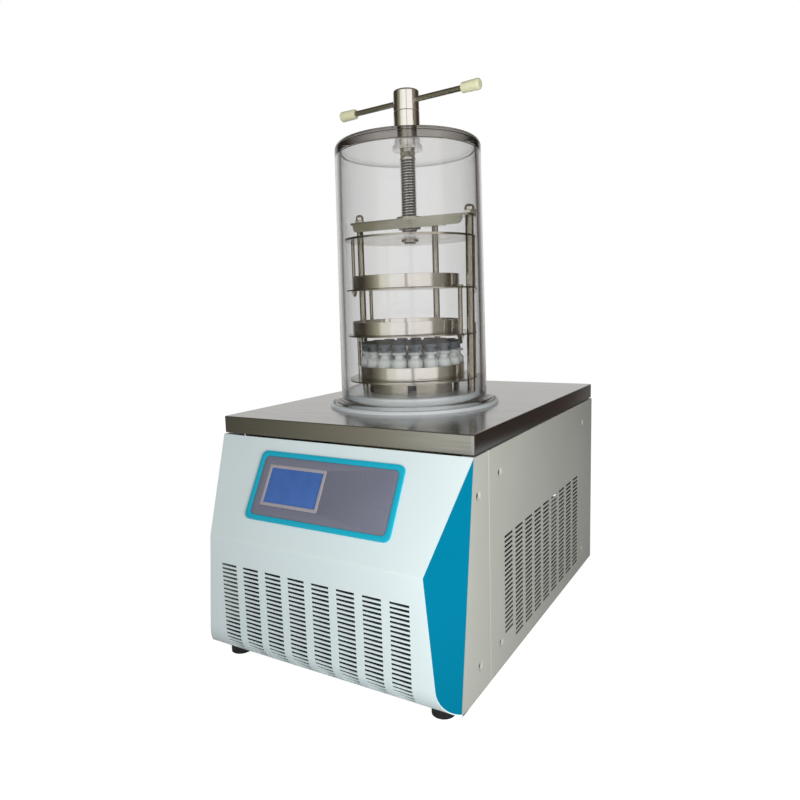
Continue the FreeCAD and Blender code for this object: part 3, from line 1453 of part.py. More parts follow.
screw = turned("press_screw", [
    ("0", "boss_bottom - seal_gap - clip_thick"),
    ("clip_radius", "boss_bottom - seal_gap - clip_thick"),
    ("clip_radius", "boss_bottom - seal_gap"),
    ("shaft_radius", "boss_bottom - seal_gap"),
    ("shaft_radius", "foot_base"),
    ("foot_collar", "foot_base"),
    ("foot_collar", "foot_base + foot_thick"),
    ("thread_radius", "foot_base + foot_thick"),
    ("thread_radius", "screw_crown"),
    ("0", "screw_crown"),
])
tongue_slot = rectangle("-tongue_thick / 2 - tongue_gap", "screw_crown - slot_depth",
                        "tongue_thick + tongue_gap * 2", "slot_depth")
pocket(screw, drawn(screw, "YZ_Plane", [tongue_slot]), "thread_radius * 3", symmetric=True)
keep(on_axis(screw))

# ---------------------------------------------------------------- trays, vials and stoppers


def tray(label, floor, radius, x, y):
    """A plain round tray, set down off the axis."""
    wall = f"{radius} - tray_gauge"
    body = turned(label, [
        ("0", floor),
        (radius, floor),
        (radius, f"{floor} + tray_height"),
        (wall, f"{floor} + tray_height"),
        (wall, f"{floor} + tray_gauge"),
        ("0", f"{floor} + tray_gauge"),
    ])
    return keep(placed(body, x, f"axis_y + {y}"))


tray("tray_upper", "upper_top", "tray_radius", "upper_tray_x", "upper_tray_y")
tray("tray_middle", "middle_top", "tray_radius", "middle_tray_x", "middle_tray_y")
tray("tray_lower", "lower_top", "tray_radius", "lower_tray_x", "lower_tray_y")


def vial(label):
    return turned(label, [
        ("0", "tray_floor"),
        ("vial_radius", "tray_floor"),
        ("vial_radius", "vial_top"),
        ("vial_bore", "vial_top"),
        ("vial_bore", "tray_floor + vial_floor"),
        ("0", "tray_floor + vial_floor"),
    ])


def stopper(label):
    return turned(label, [
        ("0", "vial_top + stopper_raise - plug_length"),
        ("plug_radius", "vial_top + stopper_raise - plug_length"),
        ("plug_radius", "vial_top + stopper_raise"),
        ("stopper_radius", "vial_top + stopper_raise"),
        ("stopper_radius", "vial_top + stopper_raise + stopper_cap"),
        ("0", "vial_top + stopper_raise + stopper_cap"),
    ])


VIAL_SPOTS = [("outer_orbit", f"360 / outer_vials * {number}") for number in range(DRIVING["outer_vials"])]


def ring_in_tray(label, make):
    """Only the outer ring stands as solids; it hides what is inside it."""
    pieces = []
    for number, (orbit, azimuth) in enumerate(VIAL_SPOTS):
        x, y = around(orbit, azimuth)
        spot = (f"lower_tray_x + {x}", f"axis_y + lower_tray_y + {y}")
        pieces.append(placed(make(f"{label}_{number}"), *spot))
    return keep(grouped(label, pieces))


ring_in_tray("vials", vial)
ring_in_tray("stoppers", stopper)

# ---------------------------------------------------------------- check and write

doc.recompute()
for thing in doc.Objects:
    if "Invalid" in thing.State or "Error" in thing.State:
        raise RuntimeError(f"{thing.Name} failed: {thing.State}")
os.makedirs("parts", exist_ok=True)
for label, thing in parts.items():
    shape = thing.Shape
    if shape.isNull() or not shape.isValid():
        raise RuntimeError(f"{label} has no valid shape")
    shape.exportStep(f"parts/{label}.step")
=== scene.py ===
import math

import bmesh
import bpy
from mathutils import Matrix, Vector

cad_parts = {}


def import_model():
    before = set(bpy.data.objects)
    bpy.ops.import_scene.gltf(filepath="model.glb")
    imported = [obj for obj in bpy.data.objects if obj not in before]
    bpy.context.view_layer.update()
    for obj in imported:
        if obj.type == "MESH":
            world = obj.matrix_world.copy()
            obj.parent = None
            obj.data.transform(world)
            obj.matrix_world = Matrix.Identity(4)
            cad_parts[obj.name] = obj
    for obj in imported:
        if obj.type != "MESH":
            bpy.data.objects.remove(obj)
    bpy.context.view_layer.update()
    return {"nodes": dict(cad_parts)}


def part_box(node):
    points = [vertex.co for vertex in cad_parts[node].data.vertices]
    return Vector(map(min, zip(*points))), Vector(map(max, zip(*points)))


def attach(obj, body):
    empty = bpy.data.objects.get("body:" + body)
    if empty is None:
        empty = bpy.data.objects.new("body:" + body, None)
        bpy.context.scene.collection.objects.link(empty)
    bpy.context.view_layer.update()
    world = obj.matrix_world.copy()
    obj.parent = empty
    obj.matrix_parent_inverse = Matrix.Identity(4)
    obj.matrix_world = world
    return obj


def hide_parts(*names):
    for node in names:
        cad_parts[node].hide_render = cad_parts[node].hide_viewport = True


# A benchtop freeze dryer. Metres, +Z up, the front towards -Y.

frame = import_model()

# ---------------------------------------------------------------- places, from the frame

DECK_LOW, DECK_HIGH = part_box("deck")
SHROUD_LOW, SHROUD_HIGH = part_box("front_shroud")
PANEL_LOW, PANEL_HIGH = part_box("side_panel_right")
JAR_LOW, JAR_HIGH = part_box("jar")

DECK_TOP = DECK_HIGH.z
DECK_FRONT = DECK_LOW.y
RIM_BOTTOM = DECK_LOW.z
PANEL_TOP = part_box("corner_strip_right")[1].z
SHEET_BOTTOM = SHROUD_LOW.z
NOSE_Y = SHROUD_LOW.y
HALF_WIDTH = SHROUD_HIGH.x
AXIS = (JAR_LOW + JAR_HIGH) / 2
AXIS.z = 0
ORIGIN = Vector((0, 0, 0))
MERGE = 1e-6

# The sheet, its folds and the front's outline.
GAUGE = 0.0012
NOSE_Z = DECK_TOP - 0.1535
NOSE_HALF = 0.166
NOSE_BEND = 0.008
BELLY_BEND = 0.040
TIP_REACH = 0.045
SHEET_RETURN = 0.030
TRAP_HOLE = 0.1044
SLOPE = Vector((0, NOSE_Y - DECK_FRONT, NOSE_Z - RIM_BOTTOM))
SEAM_Y = DECK_FRONT + 0.040
BEND_HOLD = 0.0006
EDGE_FOLD = 0.0013
EDGE_RETURN = 0.003
TOP_FOLD = 0.018
CHEEK_GAP = 0.001
CHEEK_DEPTH = 0.003
BEND_STEPS = 24

# Slots, as width and height, in columns and rows.
FRONT_COLUMNS = 8
FRONT_COLUMN_PITCH = 0.0384
FRONT_SLOT = (0.0274, 0.0032)
FRONT_SLOT_PITCH = 0.0059
FRONT_ROWS = 22
FRONT_SLOT_TOP = DECK_TOP - 0.1895

SIDE_COLUMNS = 9
SIDE_COLUMN_PITCH = 0.0392
SIDE_SLOT = (0.0308, 0.0036)
SIDE_SLOT_PITCH = 0.0066
SIDE_ROWS = 24
SIDE_SHORT_ROWS = 21
SIDE_SLOT_START = DECK_FRONT + 0.106
SIDE_SLOT_TOP = DECK_TOP - 0.151

# The screws in the side sheets, and the press screw's thread.
SCREW_SPOTS = [(DECK_FRONT + y, DECK_TOP - z) for y in (0.077, 0.460) for z in (0.062, 0.292)]
STRIP_SCREW_SPOTS = [(DECK_FRONT + 0.009, DECK_TOP - z) for z in (0.075, 0.291)]
SCREW_DISH = 0.0066
SCREW_SINK = 0.0023
SCREW_SQUARE = 0.008
THREAD_CREST = 0.0123
THREAD_ROOT = 0.0104
THREAD_PITCH = 0.004

# The rack: its turn, and where its columns and rods stand round the axis.
RACK_TURN = math.radians(2.5)
COLUMN_ORBIT = 0.094
COLUMN_SPREAD = math.radians(87)
COLUMN_AZIMUTHS = [math.pi / 2 + RACK_TURN + turn for turn in (-COLUMN_SPREAD, 0, COLUMN_SPREAD)]
ROD_ORBIT = 0.096
BRIDGE_GAUGE = 0.003
SHELF_GAUGE = 0.002
PRESS_GAUGE = 0.003
FOOT_HEIGHT = 0.008
SHELF_RADIUS = 0.100
COLUMN_NOTCH = 0.0061
COLUMN_HOLE = 0.0041
STEM_BORE = 0.00605
UPPER_RODS = [math.radians(a) for a in (14, 194)]
MIDDLE_RODS = [math.radians(a) for a in (-15, 165)]
LOWER_RODS = [math.radians(a) for a in (22, 188)]
BAR_TURN = math.radians(-4.8)  # the handle's bar


def level(height):
    """A height above the deck's top."""
    return DECK_TOP + height


def word_for(side):
    return "right" if side > 0 else "left"


# ---------------------------------------------------------------- shader helpers


def connect(tree, source, socket):
    """Link a socket, or set a plain value on it."""
    if isinstance(source, bpy.types.NodeSocket):
        tree.links.new(source, socket)
    else:
        socket.default_value = source


def set_inputs(node, **values):
    """Set plain values on a node's sockets; a tuple is a colour without its alpha."""
    for label, value in values.items():
        plain = (*value, 1) if isinstance(value, tuple) else value
        node.inputs[label.replace("_", " ")].default_value = plain


def blend_colours(tree, factor, first, second):
    """A colour mix; each of the three may be a socket or a plain value."""
    mix = tree.nodes.new("ShaderNodeMix")
    mix.data_type = "RGBA"
    for index, source in ((0, factor), (6, first), (7, second)):
        connect(tree, source, mix.inputs[index])
    return mix.outputs[2]


def remap(tree, source, low, high, new_low, new_high):
    """A number carried from one range to another and held inside it."""
    node = tree.nodes.new("ShaderNodeMapRange")
    tree.links.new(source, node.inputs["Value"])
    for label, number in (("From Min", low), ("From Max", high), ("To Min", new_low), ("To Max", new_high)):
        connect(tree, number, node.inputs[label])
    return node.outputs["Result"]


def computed(tree, kind, operation, *sources, output="Value"):
    """What a Math or VectorMath node makes of its sources."""
    node = tree.nodes.new(f"ShaderNode{kind}")
    node.operation = operation
    for socket, source in zip(node.inputs, sources):
        connect(tree, source, socket)
    return node.outputs[output]


def both(tree, first, second):
    """The product of two masks."""
    return computed(tree, "Math", "MULTIPLY", first, second)


def larger(tree, first, second):
    """The larger of two masks."""
    return computed(tree, "Math", "MAXIMUM", first, second)


def noise_at(tree, scale, detail, stretch=(1, 1, 1)):
    """Noise on object coordinates, stretched along the axes whose factor is small."""
    place = tree.nodes.new("ShaderNodeTexCoord")
    mapping = tree.nodes.new("ShaderNodeMapping")
    mapping.inputs["Scale"].default_value = stretch
    noise = tree.nodes.new("ShaderNodeTexNoise")
    noise.inputs["Scale"].default_value = scale
    noise.inputs["Detail"].default_value = detail
    tree.links.new(place.outputs["Object"], mapping.inputs["Vector"])
    tree.links.new(mapping.outputs["Vector"], noise.inputs["Vector"])
    return noise.outputs["Fac"]


# ---------------------------------------------------------------- surfaces

NOISE_SPAN = (0.3, 0.7)
RELIEF_DEPTH = 0.0002
ABSORPTION = 11.0
OPEN_TINT = (0.93, 0.95, 0.95)
FAINT_BLUR = 0.02


def surface_group(name, scale, detail, stretch=(1, 1, 1), cloud=None):
    """Fine grain drives roughness and relief; a coarser cloud, or else the grain, shades the colour."""
    colour, number = "NodeSocketColor", "NodeSocketFloat"
    group = bpy.data.node_groups.new(name, "ShaderNodeTree")
    for label, kind in (("Colour", colour), ("Shade", colour), ("Smooth", number), ("Rough", number)):
        group.interface.new_socket(label, in_out="INPUT", socket_type=kind)
    for label, kind in (("Colour", colour), ("Roughness", number), ("Height", number)):
        group.interface.new_socket(label, in_out="OUTPUT", socket_type=kind)
    taken = group.nodes.new("NodeGroupInput").outputs
    given = group.nodes.new("NodeGroupOutput").inputs
    grain = noise_at(group, scale, detail, stretch)
    shading = noise_at(group, *cloud) if cloud else grain
    mask = remap(group, shading, *NOISE_SPAN, 0, 1)
    group.links.new(blend_colours(group, mask, taken["Colour"], taken["Shade"]), given["Colour"])
    group.links.new(remap(group, grain, *NOISE_SPAN, taken["Smooth"], taken["Rough"]), given["Roughness"])
    group.links.new(grain, given["Height"])
    return group


POWDER = surface_group("powder_coat", 900, 2, cloud=(9, 2))
BRUSHED_X = surface_group("brushed_along_x", 700, 4, (0.02, 1, 1))
TURNED = surface_group("turned_round_z", 900, 4, (0.04, 0.04, 1))
MOULDED = surface_group("moulded_plastic", 260, 4)
POWDER_SHEEN = (0.32, 0.42)


def new_material(name):
    """A material, its tree and its principled shader."""
    finish = bpy.data.materials.new(name)
    finish.use_nodes = True
    return finish, finish.node_tree, finish.node_tree.nodes["Principled BSDF"]


def material(name, group, colour, shade, sheen, bump=0.0, **constants):
    """A principled material driven by a group; the sheen is its smoothest and its roughest."""
    finish, tree, shader = new_material(name)
    effect = tree.nodes.new("ShaderNodeGroup")
    effect.node_tree = group
    set_inputs(effect, Colour=colour, Shade=shade, Smooth=sheen[0], Rough=sheen[1])
    tree.links.new(effect.outputs["Colour"], shader.inputs["Base Color"])
    tree.links.new(effect.outputs["Roughness"], shader.inputs["Roughness"])
    if bump:
        relief = tree.nodes.new("ShaderNodeBump")
        set_inputs(relief, Strength=bump, Distance=RELIEF_DEPTH)
        tree.links.new(effect.outputs["Height"], relief.inputs["Height"])
        tree.links.new(relief.outputs["Normal"], shader.inputs["Normal"])
    set_inputs(shader, **constants)
    return finish


def metal(name, group, colour, shade, sheen, bump=0.0, metallic=1.0):
    return material(name, group, colour, shade, sheen, bump, Metallic=metallic)


def paint(name, colour, shade, bump=0.05, **constants):
    return material(name, POWDER, colour, shade, POWDER_SHEEN, bump, **constants)


def plastic(name, colour, shade, sheen, bump=0.0, **constants):
    return material(name, MOULDED, colour, shade, sheen, bump, **constants)


def clear_material(name, colour, refraction, clarity=1.0, depth_tint=None):
    """A clear or milky solid, darker along a long way through it.

    The lamp's light and diffuse light pass straight through to what it holds.
    """
    finish, tree, shader = new_material(name)
    set_inputs(shader, Base_Color=colour, IOR=refraction, Transmission_Weight=clarity)
    tree.links.new(remap(tree, noise_at(tree, 40, 2), *NOISE_SPAN, 0, FAINT_BLUR), shader.inputs["Roughness"])
    path = tree.nodes.new("ShaderNodeLightPath").outputs
    open_air = tree.nodes.new("ShaderNodeBsdfTransparent")
    set_inputs(open_air, Color=OPEN_TINT)
    passing = larger(tree, path["Is Shadow Ray"], path["Is Diffuse Ray"])
    mix = tree.nodes.new("ShaderNodeMixShader")
    for socket, source in zip(mix.inputs, (passing, shader.outputs[0], open_air.outputs[0])):
        tree.links.new(source, socket)
    final = tree.nodes["Material Output"].inputs
    tree.links.new(mix.outputs[0], final["Surface"])
    if depth_tint:
        depth = tree.nodes.new("ShaderNodeVolumeAbsorption")
        set_inputs(depth, Color=depth_tint, Density=ABSORPTION)
        tree.links.new(depth.outputs[0], final["Volume"])
    return finish


def display_material():
    """A lit blue display with a faint cloudiness."""
    finish, tree, shader = new_material("display")
    set_inputs(shader, Emission_Strength=0.15, Roughness=0.3, Specular_IOR_Level=0.25)
    cloud = remap(tree, noise_at(tree, 60, 2), 0.35, 0.65, 0, 1)
    field = blend_colours(tree, cloud, (0.046, 0.118, 0.35, 1), (0.052, 0.130, 0.38, 1))
    for label in ("Base Color", "Emission Color"):
        tree.links.new(field, shader.inputs[label])
    return finish


def thread_material():
    """Steel whose grooves are darkened as painted shade: the colour follows the distance from the screw's
    middle.
    """
    finish = metal("threaded_steel", TURNED, (0.90, 0.90, 0.88), (0.80, 0.80, 0.78), (0.16, 0.28))
    tree = finish.node_tree
    base = tree.nodes["Principled BSDF"].inputs["Base Color"]
    place = tree.nodes.new("ShaderNodeTexCoord").outputs["Object"]
    sideways = computed(tree, "VectorMath", "MULTIPLY_ADD", place, (1, 1, 0), (-AXIS.x, -AXIS.y, 0),
                        output="Vector")
    length = computed(tree, "VectorMath", "LENGTH", sideways)
    # Painted shade: the colour turns dark towards the thread's root, where shade falls in the grooves.
    groove_shade = remap(tree, length, THREAD_ROOT + 0.0002, THREAD_CREST - 0.0003, 1, 0)
    steel = base.links[0].from_socket
    tree.links.new(blend_colours(tree, groove_shade, steel, (0.16, 0.16, 0.155, 1)), base)
    return finish


FRONT_PAINT = paint("front_paint", (0.70, 0.80, 0.81), (0.68, 0.78, 0.79))
# Partly the sides' own colour and partly painted shade: darker than the front's paint, as if the sides stood
# out of the light.
SIDE_PAINT_WITH_SHADE = paint("side_paint", (0.425, 0.435, 0.39), (0.405, 0.415, 0.37))
TEAL_PAINT = paint("teal_paint", (0.0, 0.165, 0.275), (0.0, 0.155, 0.258), 0.04, Specular_IOR_Level=0.03)
BLACK_STEEL = paint("black_steel", (0.02, 0.02, 0.022), (0.015, 0.015, 0.017))

DECK_STEEL = metal("deck_steel", BRUSHED_X, (0.45, 0.45, 0.45), (0.40, 0.40, 0.40), (0.14, 0.24), 0.04)
BRIDGE_STEEL = metal("bridge_steel", BRUSHED_X, (0.58, 0.58, 0.54), (0.42, 0.42, 0.38), (0.12, 0.22), 0.06)
ZINC = metal("zinc_steel", BRUSHED_X, (0.52, 0.52, 0.50), (0.42, 0.42, 0.41), (0.35, 0.5), 0.06)
SCREW_STEEL = metal("screw_steel", BRUSHED_X, (0.26, 0.26, 0.25), (0.20, 0.20, 0.19), (0.3, 0.45),
                    metallic=0.8)
FIN_DARK = metal("fin_stack", BRUSHED_X, (0.10, 0.10, 0.10), (0.03, 0.03, 0.03), (0.4, 0.6), 0.3, 0.4)
STEEL = metal("turned_steel", TURNED, (0.55, 0.53, 0.47), (0.46, 0.44, 0.38), (0.14, 0.24), 0.08)
DULL_STEEL = metal("dull_steel", TURNED, (0.38, 0.36, 0.29), (0.30, 0.285, 0.225), (0.30, 0.42), 0.08)
ROD_STEEL = metal("rod_steel", TURNED, (0.50, 0.48, 0.41), (0.42, 0.40, 0.34), (0.08, 0.16), 0.05)
BRIGHT_STEEL = metal("bright_steel", TURNED, (0.93, 0.92, 0.89), (0.88, 0.87, 0.84), (0.05, 0.11), 0.02)
SATIN = metal("satin_disc", TURNED, (0.84, 0.88, 0.90), (0.79, 0.83, 0.85), (0.3, 0.42), 0.03, 0.15)
SPUN_DISC = metal("spun_disc", TURNED, (0.90, 0.93, 0.95), (0.86, 0.89, 0.91), (0.16, 0.26), 0.02, 0.3)
COPPER = metal("copper", TURNED, (0.72, 0.34, 0.20), (0.60, 0.27, 0.16), (0.25, 0.4), 0.05)
BRASS = metal("brass", TURNED, (0.66, 0.49, 0.20), (0.56, 0.41, 0.16), (0.2, 0.35), 0.05)
THREAD_STEEL = thread_material()

RUBBER = plastic("black_rubber", (0.008, 0.008, 0.008), (0.012, 0.012, 0.012), (0.6, 0.75), 0.1)
PALE_RUBBER = plastic("pale_rubber", (0.80, 0.82, 0.82), (0.74, 0.76, 0.76), (0.4, 0.55), 0.05)
STOPPER_RUBBER = plastic("stopper_rubber", (0.088, 0.104, 0.122), (0.104, 0.12, 0.138), (0.45, 0.6), 0.05)
FOAM = plastic("foam", (0.62, 0.52, 0.30), (0.50, 0.42, 0.24), (0.8, 0.95), 0.6)
CYAN = plastic("cyan_plastic", (0.003, 0.42, 0.58), (0.003, 0.39, 0.54), (0.35, 0.42), 0.02,
               Specular_IOR_Level=0.3)
FASCIA = plastic("membrane", (0.19, 0.195, 0.255), (0.175, 0.18, 0.235), (0.38, 0.48), 0.02,
                 Specular_IOR_Level=0.3)
BEZEL = plastic("display_bezel", (0.38, 0.36, 0.39), (0.34, 0.32, 0.35), (0.3, 0.4), 0.03)
DARK_PLASTIC = plastic("dark_plastic", (0.018, 0.018, 0.02), (0.025, 0.025, 0.028), (0.35, 0.5), 0.05)
CREAM = plastic("cream_plastic", (0.84, 0.82, 0.55), (0.80, 0.78, 0.52), (0.2, 0.32))
CIRCUIT = plastic("circuit_board", (0.01, 0.10, 0.04), (0.02, 0.14, 0.06), (0.35, 0.5), 0.1)
ACRYLIC = clear_material("acrylic", (0.93, 0.932, 0.936), 1.49, depth_tint=(0.55, 0.52, 0.49))
VIAL_GLASS = clear_material("vial_glass", (0.985, 0.985, 0.965), 1.5, 0.76)
DISPLAY = display_material()

# ---------------------------------------------------------------- modelling helpers


def linked(name, data):
    """A new object in the scene."""
    thing = bpy.data.objects.new(name, data)
    bpy.context.scene.collection.objects.link(thing)
    return thing


def of_kind(items, kind):
    return [item for item in items if isinstance(item, kind)]


def finish_piece(bm, name, body, look, replaced, smooth=None):
    """Turn a bmesh into a piece that rides on a body."""
    mesh = bpy.data.meshes.new(name)
    bm.edges.index_update()
    open_edges = [edge.index for edge in bm.edges if edge.is_boundary]
    bm.to_mesh(mesh)
    bm.free()
    if smooth is not None:
        for polygon in mesh.polygons:
            polygon.use_smooth = True
        mesh.set_sharp_from_angle(angle=math.radians(smooth))
        for index in open_edges:
            mesh.edges[index].use_edge_sharp = True
    piece = linked(name, mesh)
    mesh.materials.append(look)
    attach(piece, body)
    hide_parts(*replaced)
    return piece


def softened(corners, steps=6):
    """A path through corners given as (a, b, bend), with each bend an arc."""
    path = []
    for index, (a, b, bend) in enumerate(corners):
        corner = Vector((a, b))
        if not bend:
            path.append(corner)
            continue
        before = Vector(corners[index - 1][:2]) - corner
        after = Vector(corners[(index + 1) % len(corners)][:2]) - corner
        before.normalize()
        after.normalize()
        half = before.angle(after) / 2
        reach = bend / math.tan(half)
        centre = corner + (before + after).normalized() * (bend / math.sin(half))
        start = corner + before * reach - centre
        sweep = start.angle_signed(corner + after * reach - centre)
        for step in range(steps + 1):
            arc = start.copy()
            arc.rotate(Matrix.Rotation(-sweep * step / steps, 2))
            path.append(centre + arc)
    return path


def outward(bm):
    """Turn every face outwards."""
    bmesh.ops.recalc_face_normals(bm, faces=bm.faces)


def merged(bm):
    """Join the vertices that lie at one point."""
    bmesh.ops.remove_doubles(bm, verts=bm.verts, dist=MERGE)


def recalculated(bm):
    """Merge what meets and turn every face outwards."""
    merged(bm)
    outward(bm)


def spun(bm, corners, centre, segments, steps=6):
    """Add a turned shape. Corners are (radius, height, bend) about a vertical line through the centre."""
    path = softened(corners, steps)
    verts = [bm.verts.new((centre.x + point.x, centre.y, point.y)) for point in path]
    edges = [bm.edges.new(pair) for pair in zip(verts, verts[1:] + verts[:1])]
    bmesh.ops.spin(bm, geom=verts + edges, cent=centre, axis=(0, 0, 1), dvec=(0, 0, 0), angle=math.tau,
                   steps=segments, use_merge=True, use_duplicate=False)


def turned_piece(name, corners, body, look, node, centres=(AXIS,), segments=96, smooth=35, steps=6):
    """One turned shape about each centre, in place of a node."""
    bm = bmesh.new()
    for centre in centres:
        spun(bm, corners, centre, segments, steps)
    merged(bm)
    slivers = [face for face in bm.faces if face.calc_area() < 1e-12]
    bmesh.ops.delete(bm, geom=slivers, context="FACES")
    outward(bm)
    finish_piece(bm, name, body, look, [node], smooth)


def around(orbit, azimuth):
    """A point on the floor, about the axis."""
    return AXIS + Vector((orbit * math.cos(azimuth), orbit * math.sin(azimuth), 0))


def loop_of(bm, points, height):
    """A closed loop of edges through plan points at a height."""
    verts = [bm.verts.new((x, y, height)) for x, y in points]
    return [bm.edges.new((vert, verts[(index + 1) % len(verts)])) for index, vert in enumerate(verts)]


def circle_points(centre, radius, segments):
    return [(centre.x + radius * math.cos(math.tau * step / segments),
             centre.y + radius * math.sin(math.tau * step / segments)) for step in range(segments)]


def raised(bm, faces, offset):
    """Make a solid by carrying a copy of the faces through an offset."""
    made = bmesh.ops.extrude_face_region(bm, geom=faces, use_keep_orig=True)["geom"]
    bmesh.ops.translate(bm, verts=of_kind(made, bmesh.types.BMVert), vec=offset)


def extruded(bm, edges):
    """Extrude edges where they are; the new vertices, and the new edges between them."""
    made = bmesh.ops.extrude_edge_only(bm, edges=edges)["geom"]
    verts = of_kind(made, bmesh.types.BMVert)
    return verts, [edge for edge in of_kind(made, bmesh.types.BMEdge)
                   if edge.verts[0] in verts and edge.verts[1] in verts]


def soft_edges(bm, edges, offset, segments):
    bmesh.ops.bevel(bm, geom=edges, offset=offset, segments=segments, profile=0.5, affect="EDGES",
                    material=-1)


def chain_of(bm, verts):
    """The edges that join each vertex to the next."""
    return [bm.edges.new(pair) for pair in zip(verts, verts[1:])]


def filled(bm, edges, normal=(0, 0, 1)):
    """Fill between closed loops of edges, which leaves the inner ones as holes."""
    made = bmesh.ops.triangle_fill(bm, use_beauty=True, use_dissolve=False, edges=edges, normal=normal)
    return of_kind(made["geom"], bmesh.types.BMFace)


def cut(bm, point, normal, **cleared):
    """Cut everything by a plane, clear one side of it and give the edges along the cut."""
    made = bmesh.ops.bisect_plane(bm, geom=bm.verts[:] + bm.edges[:] + bm.faces[:], dist=1e-7,
                                  plane_co=point, plane_no=normal, **cleared)
    return of_kind(made["geom_cut"], bmesh.types.BMEdge)


def turned_out(bm, measure):
    """Turn the faces of a sheet the same way, so that what is measured of them isn't negative."""
    outward(bm)
    if measure(bm) < 0:
        bmesh.ops.reverse_faces(bm, faces=bm.faces)


def plate(bm, outline, holes, low, high):
    """A flat plate between two heights, with its holes."""
    edges = loop_of(bm, outline, low)
    for points in holes:
        edges += loop_of(bm, points, low)
    raised(bm, filled(bm, edges), (0, 0, high - low))
    outward(bm)


# ---------------------------------------------------------------- cabinet


def front_corners(inset):
    """The front's side outline from the top down, moved inwards by the inset."""
    slant = SLOPE.length / -SLOPE.z * inset
    top_y = DECK_FRONT + slant + (RIM_BOTTOM - PANEL_TOP) * SLOPE.y / -SLOPE.z
    wall_y = NOSE_Y + inset
    bend_z = RIM_BOTTOM + (wall_y - DECK_FRONT - slant) * SLOPE.z / SLOPE.y
    return [
        (top_y, PANEL_TOP, 0),
        (wall_y, bend_z, NOSE_BEND - inset),
        (wall_y, SHEET_BOTTOM + inset, BELLY_BEND - inset),
        (DECK_FRONT - SHEET_RETURN, SHEET_BOTTOM + inset, 0),
    ]


def corner_plane(inset):
    """A point on the right corner's cutting plane and its outward normal."""
    top = Vector((HALF_WIDTH - inset, DECK_FRONT, RIM_BOTTOM))
    foot = Vector((HALF_WIDTH - inset, DECK_FRONT - TIP_REACH, SHEET_BOTTOM))
    nose = Vector((NOSE_HALF - inset, NOSE_Y, NOSE_Z))
    return top, (nose - top).cross(foot - top).normalized()


def cut_corners(bm, inset, keep_inner=True, sides=(1, -1), fill=False):
    """Cut by the sloping corner planes and keep one side of each."""
    point, normal = corner_plane(inset)
    if normal.x < 0:
        normal.negate()
    for side in sides:
        here = Vector((point.x * side, point.y, point.z))
        out = Vector((normal.x * side, normal.y, normal.z))
        edges = cut(bm, here, out, clear_outer=keep_inner, clear_inner=not keep_inner)
        if fill:
            bmesh.ops.triangle_fill(bm, use_beauty=True, use_dissolve=True, edges=edges)


def front_stations():
    """Points down the front's outline, with every slot's edges among them, and the slots' middles."""
    path = softened(front_corners(0), steps=BEND_STEPS)
    lengths = [0]
    for first, second in zip(path, path[1:]):
        lengths.append(lengths[-1] + (second - first).length)

    def at(distance):
        for index in range(len(path) - 1):
            if distance <= lengths[index + 1]:
                part = (distance - lengths[index]) / (lengths[index + 1] - lengths[index])
                return path[index].lerp(path[index + 1], part)
        return path[-1]

    wall = next(index for index, point in enumerate(path) if abs(point.x - NOSE_Y) < 1e-7)
    first_slot = lengths[wall] + path[wall].y - FRONT_SLOT_TOP
    spans = [(first_slot + FRONT_SLOT_PITCH * row, first_slot + FRONT_SLOT_PITCH * row + FRONT_SLOT[1])
             for row in range(FRONT_ROWS)]
    nose_start, nose_end = lengths[1] - BEND_HOLD, lengths[1 + BEND_STEPS] + BEND_HOLD
    belly_start, belly_end = lengths[2 + BEND_STEPS] - BEND_HOLD, lengths[-2] + BEND_HOLD
    clear = [length for length in lengths + [nose_start, nose_end, belly_start, belly_end]
             if not any(low - 2e-4 < length < high + 2e-4 for low, high in spans)]
    stations = sorted(clear + [edge for span in spans for edge in span])
    return [at(length) for length in stations], [(at(low) + at(high)) / 2 for low, high in spans]


def spread_strip(bm, chain, offsets):
    """Sweep a chain of edges sideways through a run of offsets."""
    for offset in offsets:
        verts, chain = extruded(bm, chain)
        bmesh.ops.translate(bm, verts=verts, vec=offset)


def slot_edges(count, pitch, width, middle):
    """The two edges of each slot in a row of columns about a middle."""
    starts = [middle + (index - (count - 1) / 2) * pitch - width / 2 for index in range(count)]
    return [edge for start in starts for edge in (start, start + width)]


def thickened(piece, thickness):
    """Give a sheet its thickness, behind its outer face."""
    shell = piece.modifiers.new("sheet", "SOLIDIFY")
    shell.thickness = thickness
    shell.offset = -1
    shell.use_even_offset = True


def front_sheet():
    """The folded front: a slope, a wall of slots and a belly, cut by the corners."""
    points, middles = front_stations()
    bm = bmesh.new()
    verts = [bm.verts.new((-HALF_WIDTH, point.x, point.y)) for point in points]
    chain = chain_of(bm, verts)
    edges_x = slot_edges(FRONT_COLUMNS, FRONT_COLUMN_PITCH, FRONT_SLOT[0], 0)
    stops = [-HALF_WIDTH] + edges_x + [HALF_WIDTH]
    spread_strip(bm, chain, [(high - low, 0, 0) for low, high in zip(stops, stops[1:])])
    columns = [(low + high) / 2 for low, high in zip(edges_x[::2], edges_x[1::2])]

    def is_slot(face):
        middle = face.calc_center_median()
        return (any(abs(middle.x - x) < 1e-5 for x in columns)
                and any(abs(middle.y - m.x) < 1e-5 and abs(middle.z - m.y) < 1e-5 for m in middles))

    bmesh.ops.delete(bm, geom=[face for face in bm.faces if is_slot(face)], context="FACES")
    turned_out(bm, lambda bm: -sum(face.normal.y for face in bm.faces))
    cut_corners(bm, 0)
    piece = finish_piece(bm, "front_sheet", "cabinet", FRONT_PAINT, ["front_shroud"], 25)
    thickened(piece, GAUGE)


